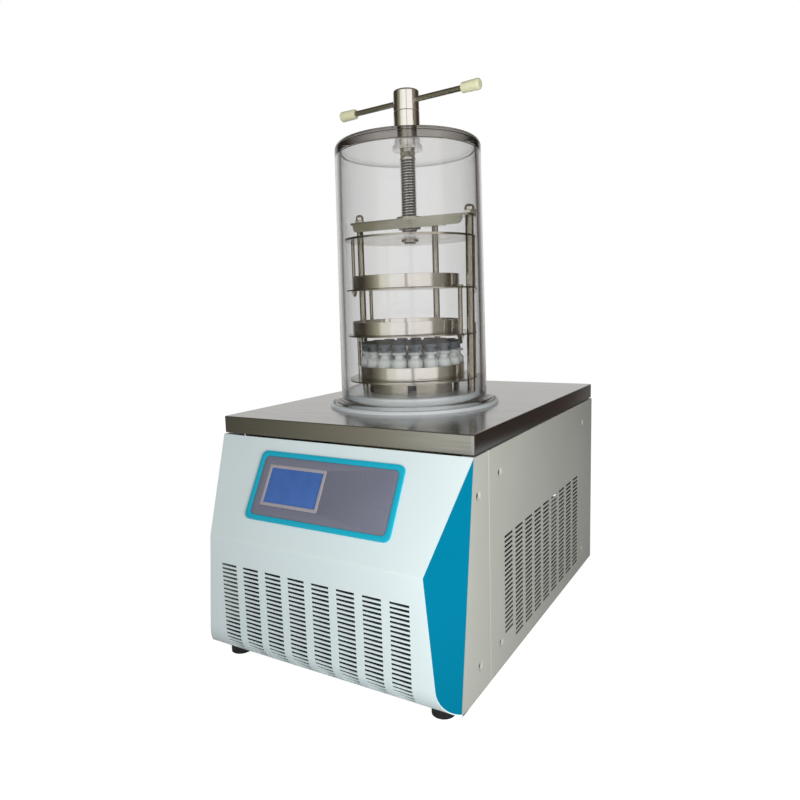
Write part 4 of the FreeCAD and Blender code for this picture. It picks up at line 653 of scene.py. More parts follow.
def cheek(side):
    """The painted plate that closes a corner of the front."""
    bm = bmesh.new()
    outline = softened(front_corners(GAUGE), steps=BEND_STEPS)
    outline += [Vector((DECK_FRONT, SHEET_BOTTOM + GAUGE)), Vector((DECK_FRONT, PANEL_TOP))]
    face = bm.faces.new([bm.verts.new((0, point.x, point.y)) for point in outline])
    raised(bm, [face], ((HALF_WIDTH - GAUGE) * side, 0, 0))
    cut_corners(bm, CHEEK_GAP, True, [side], True)
    cut_corners(bm, CHEEK_DEPTH, False, [side], True)
    recalculated(bm)
    word = word_for(side)
    finish_piece(bm, f"cheek_plate_{word}", "cabinet", TEAL_PAINT, [f"cheek_{word}"], 25)


def dished_hole(bm, side, y, z):
    """Turn the square round a screw into a dish."""
    inside = [face for face in bm.faces
              if abs(face.calc_center_median().y - y) < SCREW_SQUARE
              and abs(face.calc_center_median().z - z) < SCREW_SQUARE]
    edges = [edge for edge in {edge for face in inside for edge in face.edges}
             if sum(face in inside for face in edge.link_faces) == 1]
    bmesh.ops.delete(bm, geom=inside, context="FACES")
    centre = Vector((HALF_WIDTH * side, y, z))
    ring = bmesh.ops.create_circle(bm, cap_ends=False, segments=28, radius=SCREW_DISH,
                                   matrix=Matrix.Translation(centre) @ Matrix.Rotation(math.pi / 2, 4, "Y"))
    rim = list({edge for vert in ring["verts"] for edge in vert.link_edges})
    filled(bm, edges + rim, (side, 0, 0))
    for scale, depth in ((0.90, 0.0003), (0.60, 0.0024)):
        verts, rim = extruded(bm, rim)
        for vert in verts:
            flat = vert.co - centre
            flat.x = 0
            vert.co = centre + flat.normalized() * (SCREW_DISH * scale) - Vector((depth * side, 0, 0))


def side_sheet(side, name, node, stops_y, stops_z, is_slot, screws, slanted=False):
    """A flat panel on one side, its slots left out, its screw holes dished and its top edge folded in.

    Its front edge is folded in too, or else slanted along the corner.
    """
    bm = bmesh.new()
    x = HALF_WIDTH * side
    verts = [bm.verts.new((x, stops_y[0], z)) for z in stops_z]
    chain = chain_of(bm, verts)
    spread_strip(bm, chain, [(0, high - low, 0) for low, high in zip(stops_y, stops_y[1:])])
    gone = [face for face in bm.faces if is_slot(face.calc_center_median())]
    bmesh.ops.delete(bm, geom=gone, context="FACES")
    for y, z in screws:
        dished_hole(bm, side, y, z)
    top = [edge for edge in bm.edges if all(abs(vert.co.z - stops_z[-1]) < MERGE for vert in edge.verts)]
    spread_strip(bm, top, [(-TOP_FOLD * side, 0, 0)])
    if slanted:
        cut(bm, (x, DECK_FRONT, RIM_BOTTOM), (0, SHEET_BOTTOM - RIM_BOTTOM, TIP_REACH), clear_outer=True)
    else:
        front = [edge for edge in bm.edges if all(
            abs(vert.co.y - stops_y[0]) < MERGE and abs(vert.co.x - x) < MERGE for vert in edge.verts)]
        spread_strip(bm, front, [(-EDGE_FOLD * side, -EDGE_FOLD, 0), (-EDGE_RETURN * side, 0, 0)])
    turned_out(bm, lambda bm: sum(face.normal.x for face in bm.faces) * side)
    thickened(finish_piece(bm, name, "cabinet", SIDE_PAINT_WITH_SHADE, [node]), GAUGE)


def around_screws(spots, axis):
    """The edges of the square left round each screw."""
    return [spot[axis] + offset for spot in spots for offset in (-SCREW_SQUARE, SCREW_SQUARE)]


def side_panel(side):
    """The slotted side; the first column of slots is shorter than the rest."""
    middle = SIDE_SLOT_START + (SIDE_COLUMNS - 1) / 2 * SIDE_COLUMN_PITCH
    edges_y = slot_edges(SIDE_COLUMNS, SIDE_COLUMN_PITCH, SIDE_SLOT[0], middle)
    tops = [SIDE_SLOT_TOP - SIDE_SLOT_PITCH * row for row in range(SIDE_ROWS)]
    edges_z = [edge for top in tops for edge in (top - SIDE_SLOT[1], top)]
    stops_y = sorted(set(edges_y + around_screws(SCREW_SPOTS, 0) + [PANEL_LOW.y + EDGE_FOLD, PANEL_HIGH.y]))
    stops_z = sorted(set(edges_z + around_screws(SCREW_SPOTS, 1) + [SHEET_BOTTOM, PANEL_TOP]))

    def is_slot(point):
        column = any(low < point.y < high for low, high in zip(edges_y[::2], edges_y[1::2]))
        rows = SIDE_SHORT_ROWS if point.y < edges_y[1] else SIDE_ROWS
        return column and any(top - SIDE_SLOT[1] < point.z < top for top in tops[:rows])

    word = word_for(side)
    side_sheet(side, f"side_sheet_{word}", f"side_panel_{word}", stops_y, stops_z, is_slot, SCREW_SPOTS)


def corner_strip(side):
    """The plain strip in front of the side panel."""
    stops_y = [DECK_FRONT - TIP_REACH, DECK_FRONT + 0.001, DECK_FRONT + 0.017, SEAM_Y]
    stops_z = sorted(around_screws(STRIP_SCREW_SPOTS, 1) + [SHEET_BOTTOM, PANEL_TOP])
    word = word_for(side)
    side_sheet(side, f"strip_sheet_{word}", f"corner_strip_{word}", stops_y, stops_z, lambda point: False,
               STRIP_SCREW_SPOTS, True)


def countersunk_screws():
    """Cross-recessed heads, each sunk in its dish."""
    head, arm, width, recess = 0.0039, 0.0026, 0.0007, 0.0009
    cross = [(-width, -arm), (width, -arm), (width, -width), (arm, -width), (arm, width), (width, width),
             (width, arm), (-width, arm), (-width, width), (-arm, width), (-arm, -width), (-width, -width)]
    bm = bmesh.new()
    for side in (1, -1):
        for y, z in SCREW_SPOTS + STRIP_SCREW_SPOTS:
            known = set(bm.verts)
            plate(bm, circle_points(ORIGIN, head, 28), [cross], -recess, 0)
            spun(bm, [(0, -0.006, 0), (head - 0.0006, -0.006, 0), (head, -recess, 0), (0, -recess, 0)],
                 ORIGIN, 28)
            made = [vert for vert in bm.verts if vert not in known]
            place = (Matrix.Translation((side * (HALF_WIDTH - SCREW_SINK), y, z))
                     @ Matrix.Rotation(side * math.pi / 2, 4, "Y"))
            bmesh.ops.transform(bm, matrix=place, verts=made)
    recalculated(bm)
    finish_piece(bm, "countersunk_screws", "cabinet", SCREW_STEEL, ["panel_screws"], 30)


def deck_sheet():
    """The top sheet: a box with soft edges, open below, with the trap's hole."""
    bm = bmesh.new()
    made = bmesh.ops.create_cube(bm, size=1)
    matrix = Matrix.Translation((DECK_LOW + DECK_HIGH) / 2) @ Matrix.Diagonal((*(DECK_HIGH - DECK_LOW), 1))
    bmesh.ops.transform(bm, matrix=matrix, verts=made["verts"])
    upright = [edge for edge in bm.edges if abs(edge.verts[0].co.z - edge.verts[1].co.z) > 0.01]
    soft_edges(bm, upright, 0.004, 6)
    top = [edge for edge in bm.edges if all(vert.co.z > DECK_TOP - 1e-5 for vert in edge.verts)]
    soft_edges(bm, top, 0.0018, 4)
    flat = [face for face in bm.faces if abs(face.normal.z) > 0.99]
    lid = max(flat, key=lambda face: face.calc_center_median().z)
    base = min(flat, key=lambda face: face.calc_center_median().z)
    bmesh.ops.inset_region(bm, faces=[lid], thickness=0.0006, depth=0, use_even_offset=True)
    edges = list(lid.edges)
    bmesh.ops.delete(bm, geom=[lid, base], context="FACES_ONLY")
    edges += loop_of(bm, circle_points(AXIS, TRAP_HOLE, 96), DECK_TOP)
    filled(bm, edges)
    turned_out(bm, lambda bm: max(bm.faces, key=lambda face: face.calc_center_median().z).normal.z)
    thickened(finish_piece(bm, "deck_sheet", "cabinet", DECK_STEEL, ["deck"], 20), GAUGE)


front_sheet()
deck_sheet()
for side in (1, -1):
    cheek(side)
    corner_strip(side)
    side_panel(side)
countersunk_screws()

# ---------------------------------------------------------------- controls

UP_SLOPE = -SLOPE.normalized()
OUT_OF_SLOPE = Vector((1, 0, 0)).cross(UP_SLOPE)
SLOPE_FRAME = Matrix((Vector((1, 0, 0)), UP_SLOPE, OUT_OF_SLOPE)).transposed().to_4x4()
SLOPE_FRAME.translation = Vector((0, DECK_FRONT, RIM_BOTTOM))


def rounded_rectangle(left, top, width, height, corner):
    """Plan points of a rectangle on the slope; top is the distance down it."""
    corners = [(left, -top - height), (left + width, -top - height), (left + width, -top), (left, -top)]
    return [tuple(point) for point in softened([(x, y, corner) for x, y in corners])]


def slope_piece(name, outline, holes, height, look, node, bevel=0.0004):
    """A flat piece on the slope, with its upper edges softened."""
    bm = bmesh.new()
    plate(bm, outline, holes, 0, height)
    upper = [edge for edge in bm.edges if all(vert.co.z > height - MERGE for vert in edge.verts)
             and edge.calc_face_angle(0) > 0.5]
    soft_edges(bm, upper, bevel, 2)
    bmesh.ops.transform(bm, matrix=SLOPE_FRAME, verts=bm.verts)
    outward(bm)
    finish_piece(bm, name, "cabinet", look, [node], 30)


def controls():
    """A raised surround, the membrane in it, and the display with its own surround."""
    surround = rounded_rectangle(-0.1145, 0.021, 0.229, 0.096, 0.009)
    window = rounded_rectangle(-0.1075, 0.028, 0.215, 0.082, 0.007)
    face = rounded_rectangle(-0.1073, 0.0282, 0.2146, 0.0816, 0.0068)
    bezel = rounded_rectangle(-0.095, 0.0395, 0.0955, 0.0565, 0.002)
    glass = rounded_rectangle(-0.0906, 0.0439, 0.0867, 0.0477, 0.001)
    slope_piece("control_surround", surround, [window], 0.0024, CYAN, "control_frame")
    slope_piece("control_membrane", face, [bezel], 0.0014, FASCIA, "control_fascia")
    slope_piece("display_surround", bezel, [glass], 0.0020, BEZEL, "screen_bezel")
    slope_piece("display_glass", glass, [], 0.0010, DISPLAY, "screen", 0.0001)


controls()

# ---------------------------------------------------------------- trap, ring and guide plate

turned_piece("bead_ring", [
    (0.127, level(0), 0), (0.132, level(0), 0), (0.132, level(0.005), 0.0022), (0.127, level(0.005), 0.001),
], "cabinet", SATIN, "seat_ring", segments=144)
turned_piece("guide_plate", [
    (0.031, level(0.0195), 0), (TRAP_HOLE, level(0.0195), 0.003), (TRAP_HOLE, level(0.0015), 0),
    (0.1032, level(0.0015), 0), (0.1032, level(0.0183), 0.0018), (0.0322, level(0.0183), 0),
    (0.0322, level(-0.0365), 0), (0.031, level(-0.0365), 0),
], "cabinet", SPUN_DISC, "baffle", segments=144)
turned_piece("jar_gasket", [
    (0.105, level(0.0015), 0), (0.126, level(0.0015), 0), (0.126, level(0.0045), 0.0012),
    (0.105, level(0.0045), 0.0008),
], "cabinet", PALE_RUBBER, "gasket", segments=144)

# ---------------------------------------------------------------- jar and handle

JAR_BASE = JAR_LOW.z
JAR_TOP = JAR_HIGH.z
JAR_ROOF = JAR_TOP - 0.0154
LOCKNUT_BASE = JAR_TOP - 0.0208
GLAND_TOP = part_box("gland_sleeve")[1].z
turned_piece("clear_jar", [
    (0.106, JAR_BASE, 0), (0.125, JAR_BASE, 0.001), (0.125, JAR_BASE + 0.005, 0.0015),
    (0.114, JAR_BASE + 0.005, 0.007), (0.1096, JAR_TOP, 0.011), (0.0101, JAR_TOP, 0),
    (0.0101, JAR_ROOF, 0), (0.1016, JAR_ROOF, 0.004),
], "jar", ACRYLIC, "jar", segments=160, steps=8)
turned_piece("gland_body", [
    (STEM_BORE, LOCKNUT_BASE, 0), (0.010, LOCKNUT_BASE, 0), (0.010, JAR_TOP + 0.0001, 0),
    (0.023, JAR_TOP + 0.0001, 0.0005), (0.023, JAR_TOP + 0.008, 0.0012), (0.0197, JAR_TOP + 0.008, 0),
    (0.0197, GLAND_TOP, 0.0008), (0.010, GLAND_TOP, 0), (0.010, GLAND_TOP - 0.008, 0),
    (STEM_BORE, GLAND_TOP - 0.008, 0),
], "jar", BRIGHT_STEEL, "gland_sleeve")
turned_piece("gland_locknut", [
    (0.010, LOCKNUT_BASE, 0), (0.013, LOCKNUT_BASE, 0.0008), (0.013, JAR_ROOF, 0),
    (0.010, JAR_ROOF, 0),
], "jar", STEEL, "gland_nut", segments=6, smooth=30)

HEAD_LOW, HEAD_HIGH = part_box("handle_head")
BAR_LEVEL = (HEAD_LOW.z + HEAD_HIGH.z) / 2
turned_piece("handle_hub", [
    (0.0, HEAD_LOW.z, 0), (0.0194, HEAD_LOW.z, 0.0008), (0.0194, HEAD_HIGH.z, 0.003), (0.0, HEAD_HIGH.z, 0),
], "handle", BRIGHT_STEEL, "handle_head")


def along_bar(bm):
    """Lay what was turned about the vertical line through the axis along the bar."""
    centre = Matrix.Translation((AXIS.x, AXIS.y, BAR_LEVEL))
    matrix = centre @ Matrix.Rotation(BAR_TURN, 4, "Z") @ Matrix.Rotation(math.pi / 2, 4, "Y")
    bmesh.ops.transform(bm, matrix=matrix, verts=bm.verts)
    recalculated(bm)


def handle_cross():
    """The bar through the hub, with a rounded grip on each end."""
    bm = bmesh.new()
    spun(bm, [(0, -0.110, 0), (0.004, -0.110, 0), (0.004, 0.110, 0), (0, 0.110, 0)], ORIGIN, 32)
    along_bar(bm)
    finish_piece(bm, "handle_rod", "handle", DULL_STEEL, ["handle_bar"], 30)
    bm = bmesh.new()
    for sign in (1, -1):
        spun(bm, [(0, 0.125 * sign, 0), (0.008, 0.125 * sign, 0.0032), (0.0074, 0.096 * sign, 0.002),
                  (0, 0.096 * sign, 0)], ORIGIN, 40)
    along_bar(bm)
    finish_piece(bm, "handle_grips", "handle", CREAM, ["handle_knobs"], 40)


handle_cross()

# ---------------------------------------------------------------- rack


def rack_outline(radius, notch):
    """A circle with a U-shaped notch for each column."""
    half = math.asin(notch / radius)
    points = []
    azimuths = sorted(azimuth % math.tau for azimuth in COLUMN_AZIMUTHS)
    for index, azimuth in enumerate(azimuths):
        centre = Vector((math.cos(azimuth), math.sin(azimuth), 0)) * COLUMN_ORBIT
        for step in range(13):
            angle = azimuth - math.pi / 2 - math.pi * step / 12
            points.append((AXIS.x + centre.x + notch * math.cos(angle),
                           AXIS.y + centre.y + notch * math.sin(angle)))
        start = azimuth + half
        end = azimuths[(index + 1) % len(azimuths)] - half
        sweep = (end - start) % math.tau
        count = max(2, round(sweep / math.radians(3)))
        points += [(AXIS.x + radius * math.cos(start + sweep * step / count),
                    AXIS.y + radius * math.sin(start + sweep * step / count)) for step in range(count + 1)]
    return points


def rack_plate(name, node, body, thickness, holes, boss=False):
    """A shelf or the pressing plate; its holes are (azimuth, radius), and a boss takes the screw's stud."""
    low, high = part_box(node)
    top = high.z
    bm = bmesh.new()
    loops = [circle_points(around(ROD_ORBIT, azimuth), radius, 20) for azimuth, radius in holes]
    if boss:
        loops.append(circle_points(AXIS, STEM_BORE, 32))
    plate(bm, rack_outline(SHELF_RADIUS, COLUMN_NOTCH), loops, top - thickness, top)
    if boss:
        spun(bm, [(STEM_BORE, low.z, 0), (0.013, low.z, 0.0005), (0.013, top - thickness, 0),
                  (STEM_BORE, top - thickness, 0)], AXIS, 48)
    outward(bm)
    finish_piece(bm, name, body, STEEL, [node], 30)


def rods(name, node, body, azimuths, corners):
    """A pair of rods with the same outline."""
    centres = [around(ROD_ORBIT, azimuth) for azimuth in azimuths]
    turned_piece(name, corners, body, ROD_STEEL, node, centres, 24)


def pointed_foot(low):
    """The lower end of a hanging rod: a tapered foot that a shelf rests on."""
    top = low.z + FOOT_HEIGHT
    return [(0, low.z, 0), (0.002, low.z, 0), (0.0055, top, 0.0006), (0.003, top, 0)]


def standing_ring():
    """A thin ring with ports along its foot, swept in turn through each port and the wall after it."""
    low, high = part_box("rack_ring")
    radius, ports, port_half, port_height = 0.072, 6, 0.0065, 0.014
    port_sweep = 2 * math.asin(port_half / radius)
    wall_sweep = math.tau / ports - port_sweep
    bm = bmesh.new()
    heights = (low.z, low.z + port_height, high.z)
    start = around(radius, math.radians(27 - 90) - port_sweep / 2)
    verts = [bm.verts.new((start.x, start.y, height)) for height in heights]
    geom = verts + chain_of(bm, verts)
    for _ in range(ports):
        for sweep, steps, is_port in ((port_sweep, 3, True), (wall_sweep, 14, False)):
            known = set(bm.faces)
            geom = bmesh.ops.spin(bm, geom=geom, cent=AXIS, axis=(0, 0, 1), dvec=(0, 0, 0), angle=sweep,
                                  steps=steps, use_merge=False, use_duplicate=False)["geom_last"]
            if is_port:
                opened = [face for face in bm.faces
                          if face not in known and face.calc_center_median().z < low.z + port_height]
                bmesh.ops.delete(bm, geom=opened, context="FACES_ONLY")
    merged(bm)
    loose = [edge for edge in bm.edges if not edge.link_faces]
    bmesh.ops.delete(bm, geom=loose, context="EDGES")
    bm.faces.ensure_lookup_table()
    turned_out(bm, lambda bm: bm.faces[0].normal.dot(bm.faces[0].calc_center_median() - AXIS))
    thickened(finish_piece(bm, "standing_ring", "cabinet", STEEL, ["rack_ring"], 30), 0.0015)


def rack():
    tight, free = 0.003, 0.0033
    rack_plate("shelf_plate_lower", "shelf_lower", "cabinet", SHELF_GAUGE,
               [(a, tight) for a in LOWER_RODS])
    rack_plate("shelf_plate_middle", "shelf_middle", "middle_tier", SHELF_GAUGE,
               [(a, free) for a in LOWER_RODS + MIDDLE_RODS])
    rack_plate("shelf_plate_upper", "shelf_upper", "upper_tier", SHELF_GAUGE,
               [(a, free) for a in UPPER_RODS] + [(a, tight) for a in MIDDLE_RODS])
    rack_plate("pressing_plate", "press_plate", "press", PRESS_GAUGE, [(a, tight) for a in UPPER_RODS], True)
    standing_ring()
    low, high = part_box("hanger_rods_upper")
    rods("upper_rods", "hanger_rods_upper", "press", UPPER_RODS,
         pointed_foot(low) + [(0.003, high.z, 0), (0, high.z, 0)])
    low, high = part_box("hanger_rods_middle")
    rods("middle_rods", "hanger_rods_middle", "upper_tier", MIDDLE_RODS, pointed_foot(low) + [
        (0.003, high.z - 0.0025, 0), (0.0045, high.z - 0.0025, 0), (0.0045, high.z, 0.001), (0, high.z, 0)])
    low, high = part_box("guide_rods_lower")
    rods("lower_rods", "guide_rods_lower", "cabinet", LOWER_RODS, [
        (0, low.z, 0), (0.003, low.z, 0), (0.003, high.z, 0.0008), (0, high.z, 0)])
    low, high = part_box("columns")
    bridge_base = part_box("bridge")[1].z - BRIDGE_GAUGE
    centres = [around(COLUMN_ORBIT, azimuth) for azimuth in COLUMN_AZIMUTHS]
    turned_piece("rack_columns", [
        (0, low.z, 0), (0.0055, low.z, 0), (0.0055, bridge_base, 0), (0.004, bridge_base, 0),
        (0.004, high.z, 0), (0, high.z, 0)], "cabinet", ROD_STEEL, "columns", centres, 40)
    low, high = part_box("acorn_nuts")
    bm = bmesh.new()
    for centre in centres:
        spun(bm, [(0, low.z + 0.006, 0), (0.0068, low.z + 0.006, 0), (0.0066, high.z, 0.0055),
                  (0, high.z, 0)], centre, 32)
        spun(bm, [(0.0041, low.z, 0), (0.0085, low.z, 0), (0.0085, low.z + 0.0065, 0.0008),
                  (0.0041, low.z + 0.0065, 0)], centre, 6)
    recalculated(bm)
    finish_piece(bm, "acorn_caps", "cabinet", BRIGHT_STEEL, ["acorn_nuts"], 35)


def bridge_bar():
    """The T-shaped plate that the columns carry, its folded lip and the bush that takes the screw."""
    low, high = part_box("bridge")
    base = high.z - BRIDGE_GAUGE
    arm, reach = 0.020, 0.101
    corners = [(-reach, -arm, 0.008), (reach, -arm, 0.008), (reach, arm, 0.008), (arm, arm, 0.003),
               (arm, reach, 0.008), (-arm, reach, 0.008), (-arm, arm, 0.003), (-reach, arm, 0.008)]
    outline = [tuple(point) for point in softened(corners, 5)]
    holes = [circle_points(ORIGIN, 0.017, 48)]
    for azimuth in COLUMN_AZIMUTHS:
        holes.append(circle_points(around(COLUMN_ORBIT, azimuth - RACK_TURN) - AXIS, COLUMN_HOLE, 20))
    bm = bmesh.new()
    plate(bm, outline, holes, base, high.z)
    lip = softened([(-0.092, low.z, 0.008), (0.092, low.z, 0.008), (0.092, base, 0), (-0.092, base, 0)], 6)
    face = bm.faces.new([bm.verts.new((point.x, -arm, point.y)) for point in lip])
    raised(bm, [face], (0, 0.002, 0))
    matrix = Matrix.Translation(AXIS) @ Matrix.Rotation(RACK_TURN, 4, "Z")
    bmesh.ops.transform(bm, matrix=matrix, verts=bm.verts)
    outward(bm)
    finish_piece(bm, "bridge_plate", "cabinet", BRIDGE_STEEL, ["bridge"], 30)
    nut_low, nut_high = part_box("bridge_nut")
    turned_piece("bridge_bush", [
        (0.0124, nut_low.z, 0), (0.017, nut_low.z, 0.001), (0.017, high.z, 0), (0.0198, high.z, 0),
        (0.0198, nut_high.z, 0.0008), (0.0124, nut_high.z, 0)], "cabinet", STEEL, "bridge_nut")


def threaded_screw():
    """The thread, its core with a bore in the top, and the shoulder, stud and collar under it."""
    low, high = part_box("press_screw")
    pitch, crest, root, steps = THREAD_PITCH, THREAD_CREST, THREAD_ROOT, 36
    thread_low = low.z + 0.0148
    turns = int((high.z - 0.002 - thread_low) / pitch)
    bm = bmesh.new()
    profile = [(root, 0), (root, 0.15), (crest, 0.42), (crest, 0.62), (root, 0.9), (root, 1.0)]
    verts = [bm.verts.new((AXIS.x + radius, AXIS.y, thread_low + share * pitch)) for radius, share in profile]
    edges = chain_of(bm, verts)
    bmesh.ops.spin(bm, geom=verts + edges, cent=AXIS, axis=(0, 0, 1), dvec=(0, 0, pitch / steps),
                   angle=math.tau * turns, steps=steps * turns, use_merge=False, use_duplicate=False)
    merged(bm)
    spun(bm, [(0, thread_low - 0.001, 0), (root, thread_low - 0.001, 0), (root, high.z - 0.003, 0),
              (crest - 0.0004, high.z - 0.003, 0), (crest - 0.0004, high.z, 0.0006), (0.004, high.z, 0),
              (0.004, high.z - 0.046, 0), (0, high.z - 0.046, 0)], AXIS, 48)
    spun(bm, [(0, low.z, 0), (0.009, low.z, 0), (0.009, low.z + 0.0018, 0), (0.0058, low.z + 0.0018, 0),
              (0.0058, low.z + 0.0088, 0), (0.0185, low.z + 0.0088, 0.0006), (0.0185, low.z + 0.0146, 0.0012),
              (0, low.z + 0.0146, 0)], AXIS, 64)
    recalculated(bm)
    finish_piece(bm, "threaded_screw", "screw", THREAD_STEEL, ["press_screw"], 30)


rack()
bridge_bar()
threaded_screw()

# ---------------------------------------------------------------- trays, vials, stoppers


def tray(name, node, body):
    """A shallow round tray with an upright rim."""
    low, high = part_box(node)
    centre = (low + high) / 2
    radius = (high.x - low.x) / 2
    turned_piece(name, [
        (0, low.z, 0), (radius - 0.0002, low.z, 0.0012), (radius - 0.0002, high.z, 0.0003),
        (radius - 0.001, high.z, 0.0003), (radius - 0.001, low.z + 0.0008, 0.0006), (0, low.z + 0.0008, 0),
    ], body, BRIGHT_STEEL, node, [Vector((centre.x, centre.y, 0))], 128)


def vials_and_stoppers():
    """Rings of vials about the tray's middle, each with its stopper."""
    low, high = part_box("vials")
    middle = (low + high) / 2
    rings = ((0.0705, 19), (0.0475, 13), (0.0245, 6), (0.0, 1))
    centres = [Vector((middle.x + orbit * math.cos(math.tau * index / count),
                       middle.y + orbit * math.sin(math.tau * index / count), 0))
               for orbit, count in rings for index in range(count)]
    base, rim = low.z, high.z
    turned_piece("glass_vials", [
        (0, base + 0.0006, 0), (0.0108, base, 0.0014), (0.0108, rim - 0.012, 0.0035),
        (0.0062, rim - 0.0085, 0.0015), (0.0062, rim - 0.0038, 0), (0.0098, rim - 0.0036, 0.0003),
        (0.0098, rim, 0.0004), (0.0062, rim, 0), (0.0061, rim - 0.009, 0), (0.0095, rim - 0.0135, 0.002),
        (0.0095, base + 0.0022, 0.0015), (0, base + 0.0022, 0),
    ], "cabinet", VIAL_GLASS, "vials", centres, 24, 40, 3)
    stop_low, stop_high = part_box("stoppers")
    turned_piece("rubber_stoppers", [
        (0, stop_low.z, 0), (0.0056, stop_low.z, 0.0006), (0.0058, stop_high.z - 0.005, 0),
        (0.0095, stop_high.z - 0.005, 0.0003), (0.0093, stop_high.z, 0.001), (0, stop_high.z, 0),
    ], "stopper_set", STOPPER_RUBBER, "stoppers", centres, 24, 40, 3)


tray("round_tray_upper", "tray_upper", "upper_tier")
tray("round_tray_middle", "tray_middle", "middle_tier")
tray("round_tray_lower", "tray_lower", "cabinet")
vials_and_stoppers()

# ---------------------------------------------------------------- nodes that keep their solids

KEPT = {
    ZINC: ["base_pan", "fan_shroud", "drain_lever"],
    SIDE_PAINT_WITH_SHADE: ["rear_panel"],
    RUBBER: ["feet", "gland_seal"],
    CIRCUIT: ["control_board"],
    STEEL: ["trap_vessel", "vacuum_port", "drive_shaft"],
    COPPER: ["evaporator_sleeve", "refrigerant_lines"],
    FOAM: ["trap_insulation"],
    BLACK_STEEL: ["compressor", "fan_motor"],
    FIN_DARK: ["condenser"],
    DARK_PLASTIC: ["fan_rotor", "power_inlet", "power_rocker"],
    BRASS: ["drain_valve"],
}
for look, nodes in KEPT.items():
    for node in nodes:
        for held in frame["nodes"][node].material_slots:
            held.material = look


# ---------------------------------------------------------------- stage, light, camera

LENS = 29.845
CAMERA_PLACE = (0.512625, DECK_FRONT - 0.693077, level(0.149863))
YAW, PITCH, ROLL = math.radians(30.69), math.radians(7.98), math.radians(1.76)
FLOOR_RADIUS = 1.6
FLOOR_SEEN = 0.84
FLOOR_MIRRORED = 0.10
EVEN_LIGHT = (0.12, 0.95)
EVEN_LIGHT_SIDE = (-0.6, -0.8, 0)
TOP_SHARE = 0.45
SEEN_THROUGH = 0.5
WINDOW_TURN = math.radians(31)
BACK_WALL = (0.88, 0.88, 0.88)
BACK_IN_MIRRORS = (0.72, 0.71, 0.69)
BACK_FROM, BACK_FULL = math.radians(146), math.radians(152)
CEILING = (0.13, 0.12, 0.10)
UP = (0, 0, 1)
# Colours round the machine, in degrees from the middle of the window; the wall behind is at 180.
WALLS = [
    (-180, BACK_WALL), (-166, BACK_WALL), (-146, (0.42, 0.42, 0.41)), (-137, (0.06, 0.05, 0.04)),
    (-98, (0.04, 0.034, 0.027)), (-76, (0.20, 0.185, 0.135)), (-59, (0.44, 0.41, 0.31)),
    (-53, (0.80, 0.80, 0.68)), (-36, (0.86, 0.85, 0.76)), (-32, (1.0, 0.98, 0.95)), (-4.5, (1.0, 0.97, 0.94)),
    (-2.0, (0.50, 0.46, 0.44)), (1.5, (0.50, 0.46, 0.44)), (4.0, (1.0, 0.96, 0.93)), (50, (1.0, 0.95, 0.90)),
    (57, (0.28, 0.26, 0.21)), (84, (0.16, 0.14, 0.11)), (98, (0.055, 0.042, 0.034)),
    (136, (0.055, 0.038, 0.03)), (145, (0.25, 0.24, 0.23)), (164, (0.80, 0.80, 0.80)), (172, BACK_WALL),
    (180, BACK_WALL),
]


def floor():
    """A white floor round the machine, which keeps its shadow."""
    bm = bmesh.new()
    bmesh.ops.create_circle(bm, cap_ends=True, segments=96, radius=FLOOR_RADIUS)
    mesh = bpy.data.meshes.new("floor")
    bm.to_mesh(mesh)
    bm.free()
    piece = linked("floor", mesh)
    look, tree, shader = new_material("floor_white")
    set_inputs(shader, Base_Color=(0.60, 0.60, 0.60), Roughness=1.0, Specular_IOR_Level=0.0,
               Emission_Color=(1, 1, 1))
    path = tree.nodes.new("ShaderNodeLightPath").outputs
    seen = larger(tree, path["Is Camera Ray"], path["Is Transmission Ray"])
    direct = remap(tree, seen, 0, 1, 0, FLOOR_SEEN)
    mirrored = remap(tree, path["Is Glossy Ray"], 0, 1, 0, FLOOR_MIRRORED)
    tree.links.new(larger(tree, direct, mirrored), shader.inputs["Emission Strength"])
    mesh.materials.append(look)


def along(tree, direction, axis):
    """How far a direction runs along an axis."""
    return computed(tree, "VectorMath", "DOT_PRODUCT", direction, axis)


def studio_round(tree, direction, through):
    """What stands round the machine: a pale window in front, a white wall behind, dark walls beside."""
    cosine, sine = math.cos(WINDOW_TURN), math.sin(WINDOW_TURN)
    turn = computed(tree, "Math", "ARCTAN2", along(tree, direction, (cosine, sine, 0)),
                    along(tree, direction, (sine, -cosine, 0)))
    ramp = tree.nodes.new("ShaderNodeValToRGB")
    tree.links.new(remap(tree, turn, -math.pi, math.pi, 0, 1), ramp.inputs["Fac"])
    stops = ramp.color_ramp.elements
    while len(stops) < len(WALLS):
        stops.new(0.5)
    for stop, (degrees, colour) in zip(stops, WALLS):
        stop.position = (degrees + 180) / 360
        stop.color = (*colour, 1)
    behind = remap(tree, computed(tree, "Math", "ABSOLUTE", turn), BACK_FROM, BACK_FULL, 0, 1)
    mirrored_back = both(tree, behind, remap(tree, through, 0, 1, 1, 0))
    walls = blend_colours(tree, mirrored_back, ramp.outputs["Color"], (*BACK_IN_MIRRORS, 1))
    overhead = remap(tree, along(tree, direction, UP), 0.40, 0.60, 0, 1)
    return blend_colours(tree, overhead, walls, (*CEILING, 1))


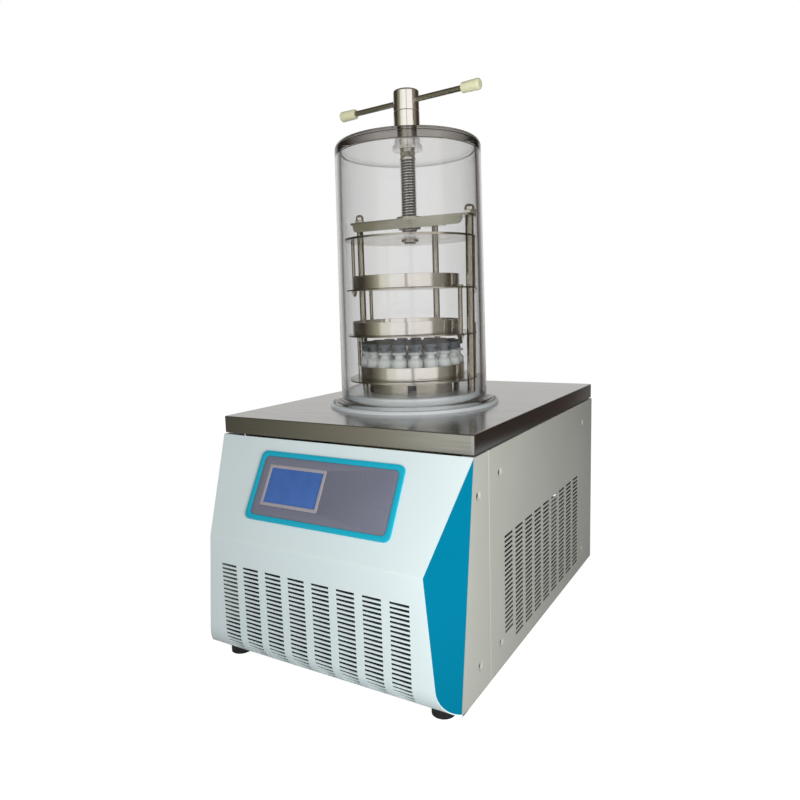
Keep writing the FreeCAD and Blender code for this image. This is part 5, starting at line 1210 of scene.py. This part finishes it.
def world():
    """White to look at; in a mirror or through glass the studio; and even light for everything else."""
    sky = bpy.data.worlds.new("studio")
    bpy.context.scene.world = sky
    sky.use_nodes = True
    sky.cycles.sampling_method = "NONE"
    tree = sky.node_tree
    direction = tree.nodes.new("ShaderNodeTexCoord").outputs["Generated"]
    path = tree.nodes.new("ShaderNodeLightPath").outputs
    through = path["Is Transmission Ray"]
    mirrored = both(tree, larger(tree, path["Is Glossy Ray"], through),
                    remap(tree, path["Diffuse Depth"], 0, 1, 1, 0))
    straight = both(tree, through, remap(tree, path["Glossy Depth"], 0, 1, SEEN_THROUGH, 0))
    even = both(tree, remap(tree, along(tree, direction, EVEN_LIGHT_SIDE), -0.7, 0.7, *EVEN_LIGHT),
                remap(tree, along(tree, direction, UP), 0.05, 0.8, 1, TOP_SHARE))
    studio = blend_colours(tree, straight, studio_round(tree, direction, through), (*BACK_WALL, 1))
    around_machine = blend_colours(tree, mirrored, even, studio)
    tree.links.new(blend_colours(tree, path["Is Camera Ray"], around_machine, (1, 1, 1, 1)),
                   tree.nodes["Background"].inputs["Color"])


def lamp(name, place, target, size, power):
    """A square lamp that faces its target and shows in no mirror and through no glass."""
    data = bpy.data.lights.new(name, "AREA")
    data.shape = "SQUARE"
    data.size = size
    data.energy = power
    thing = linked(name, data)
    thing.location = place
    thing.rotation_euler = (Vector(target) - Vector(place)).to_track_quat("-Z", "Y").to_euler()
    thing.visible_glossy = False
    thing.visible_transmission = False


def camera():
    data = bpy.data.cameras.new("camera")
    data.lens = LENS
    data.sensor_width = 36
    thing = linked("camera", data)
    turn = (Matrix.Rotation(YAW, 4, "Z") @ Matrix.Rotation(math.pi / 2 - PITCH, 4, "X")
            @ Matrix.Rotation(-ROLL, 4, "Z"))
    thing.matrix_world = Matrix.Translation(CAMERA_PLACE) @ turn
    bpy.context.scene.camera = thing


floor()
world()
lamp("key", (0.80, -0.70, 0.34), (0, 0, 0.25), 0.5, 7.5)
camera()
bpy.context.scene.view_settings.view_transform = "Standard"
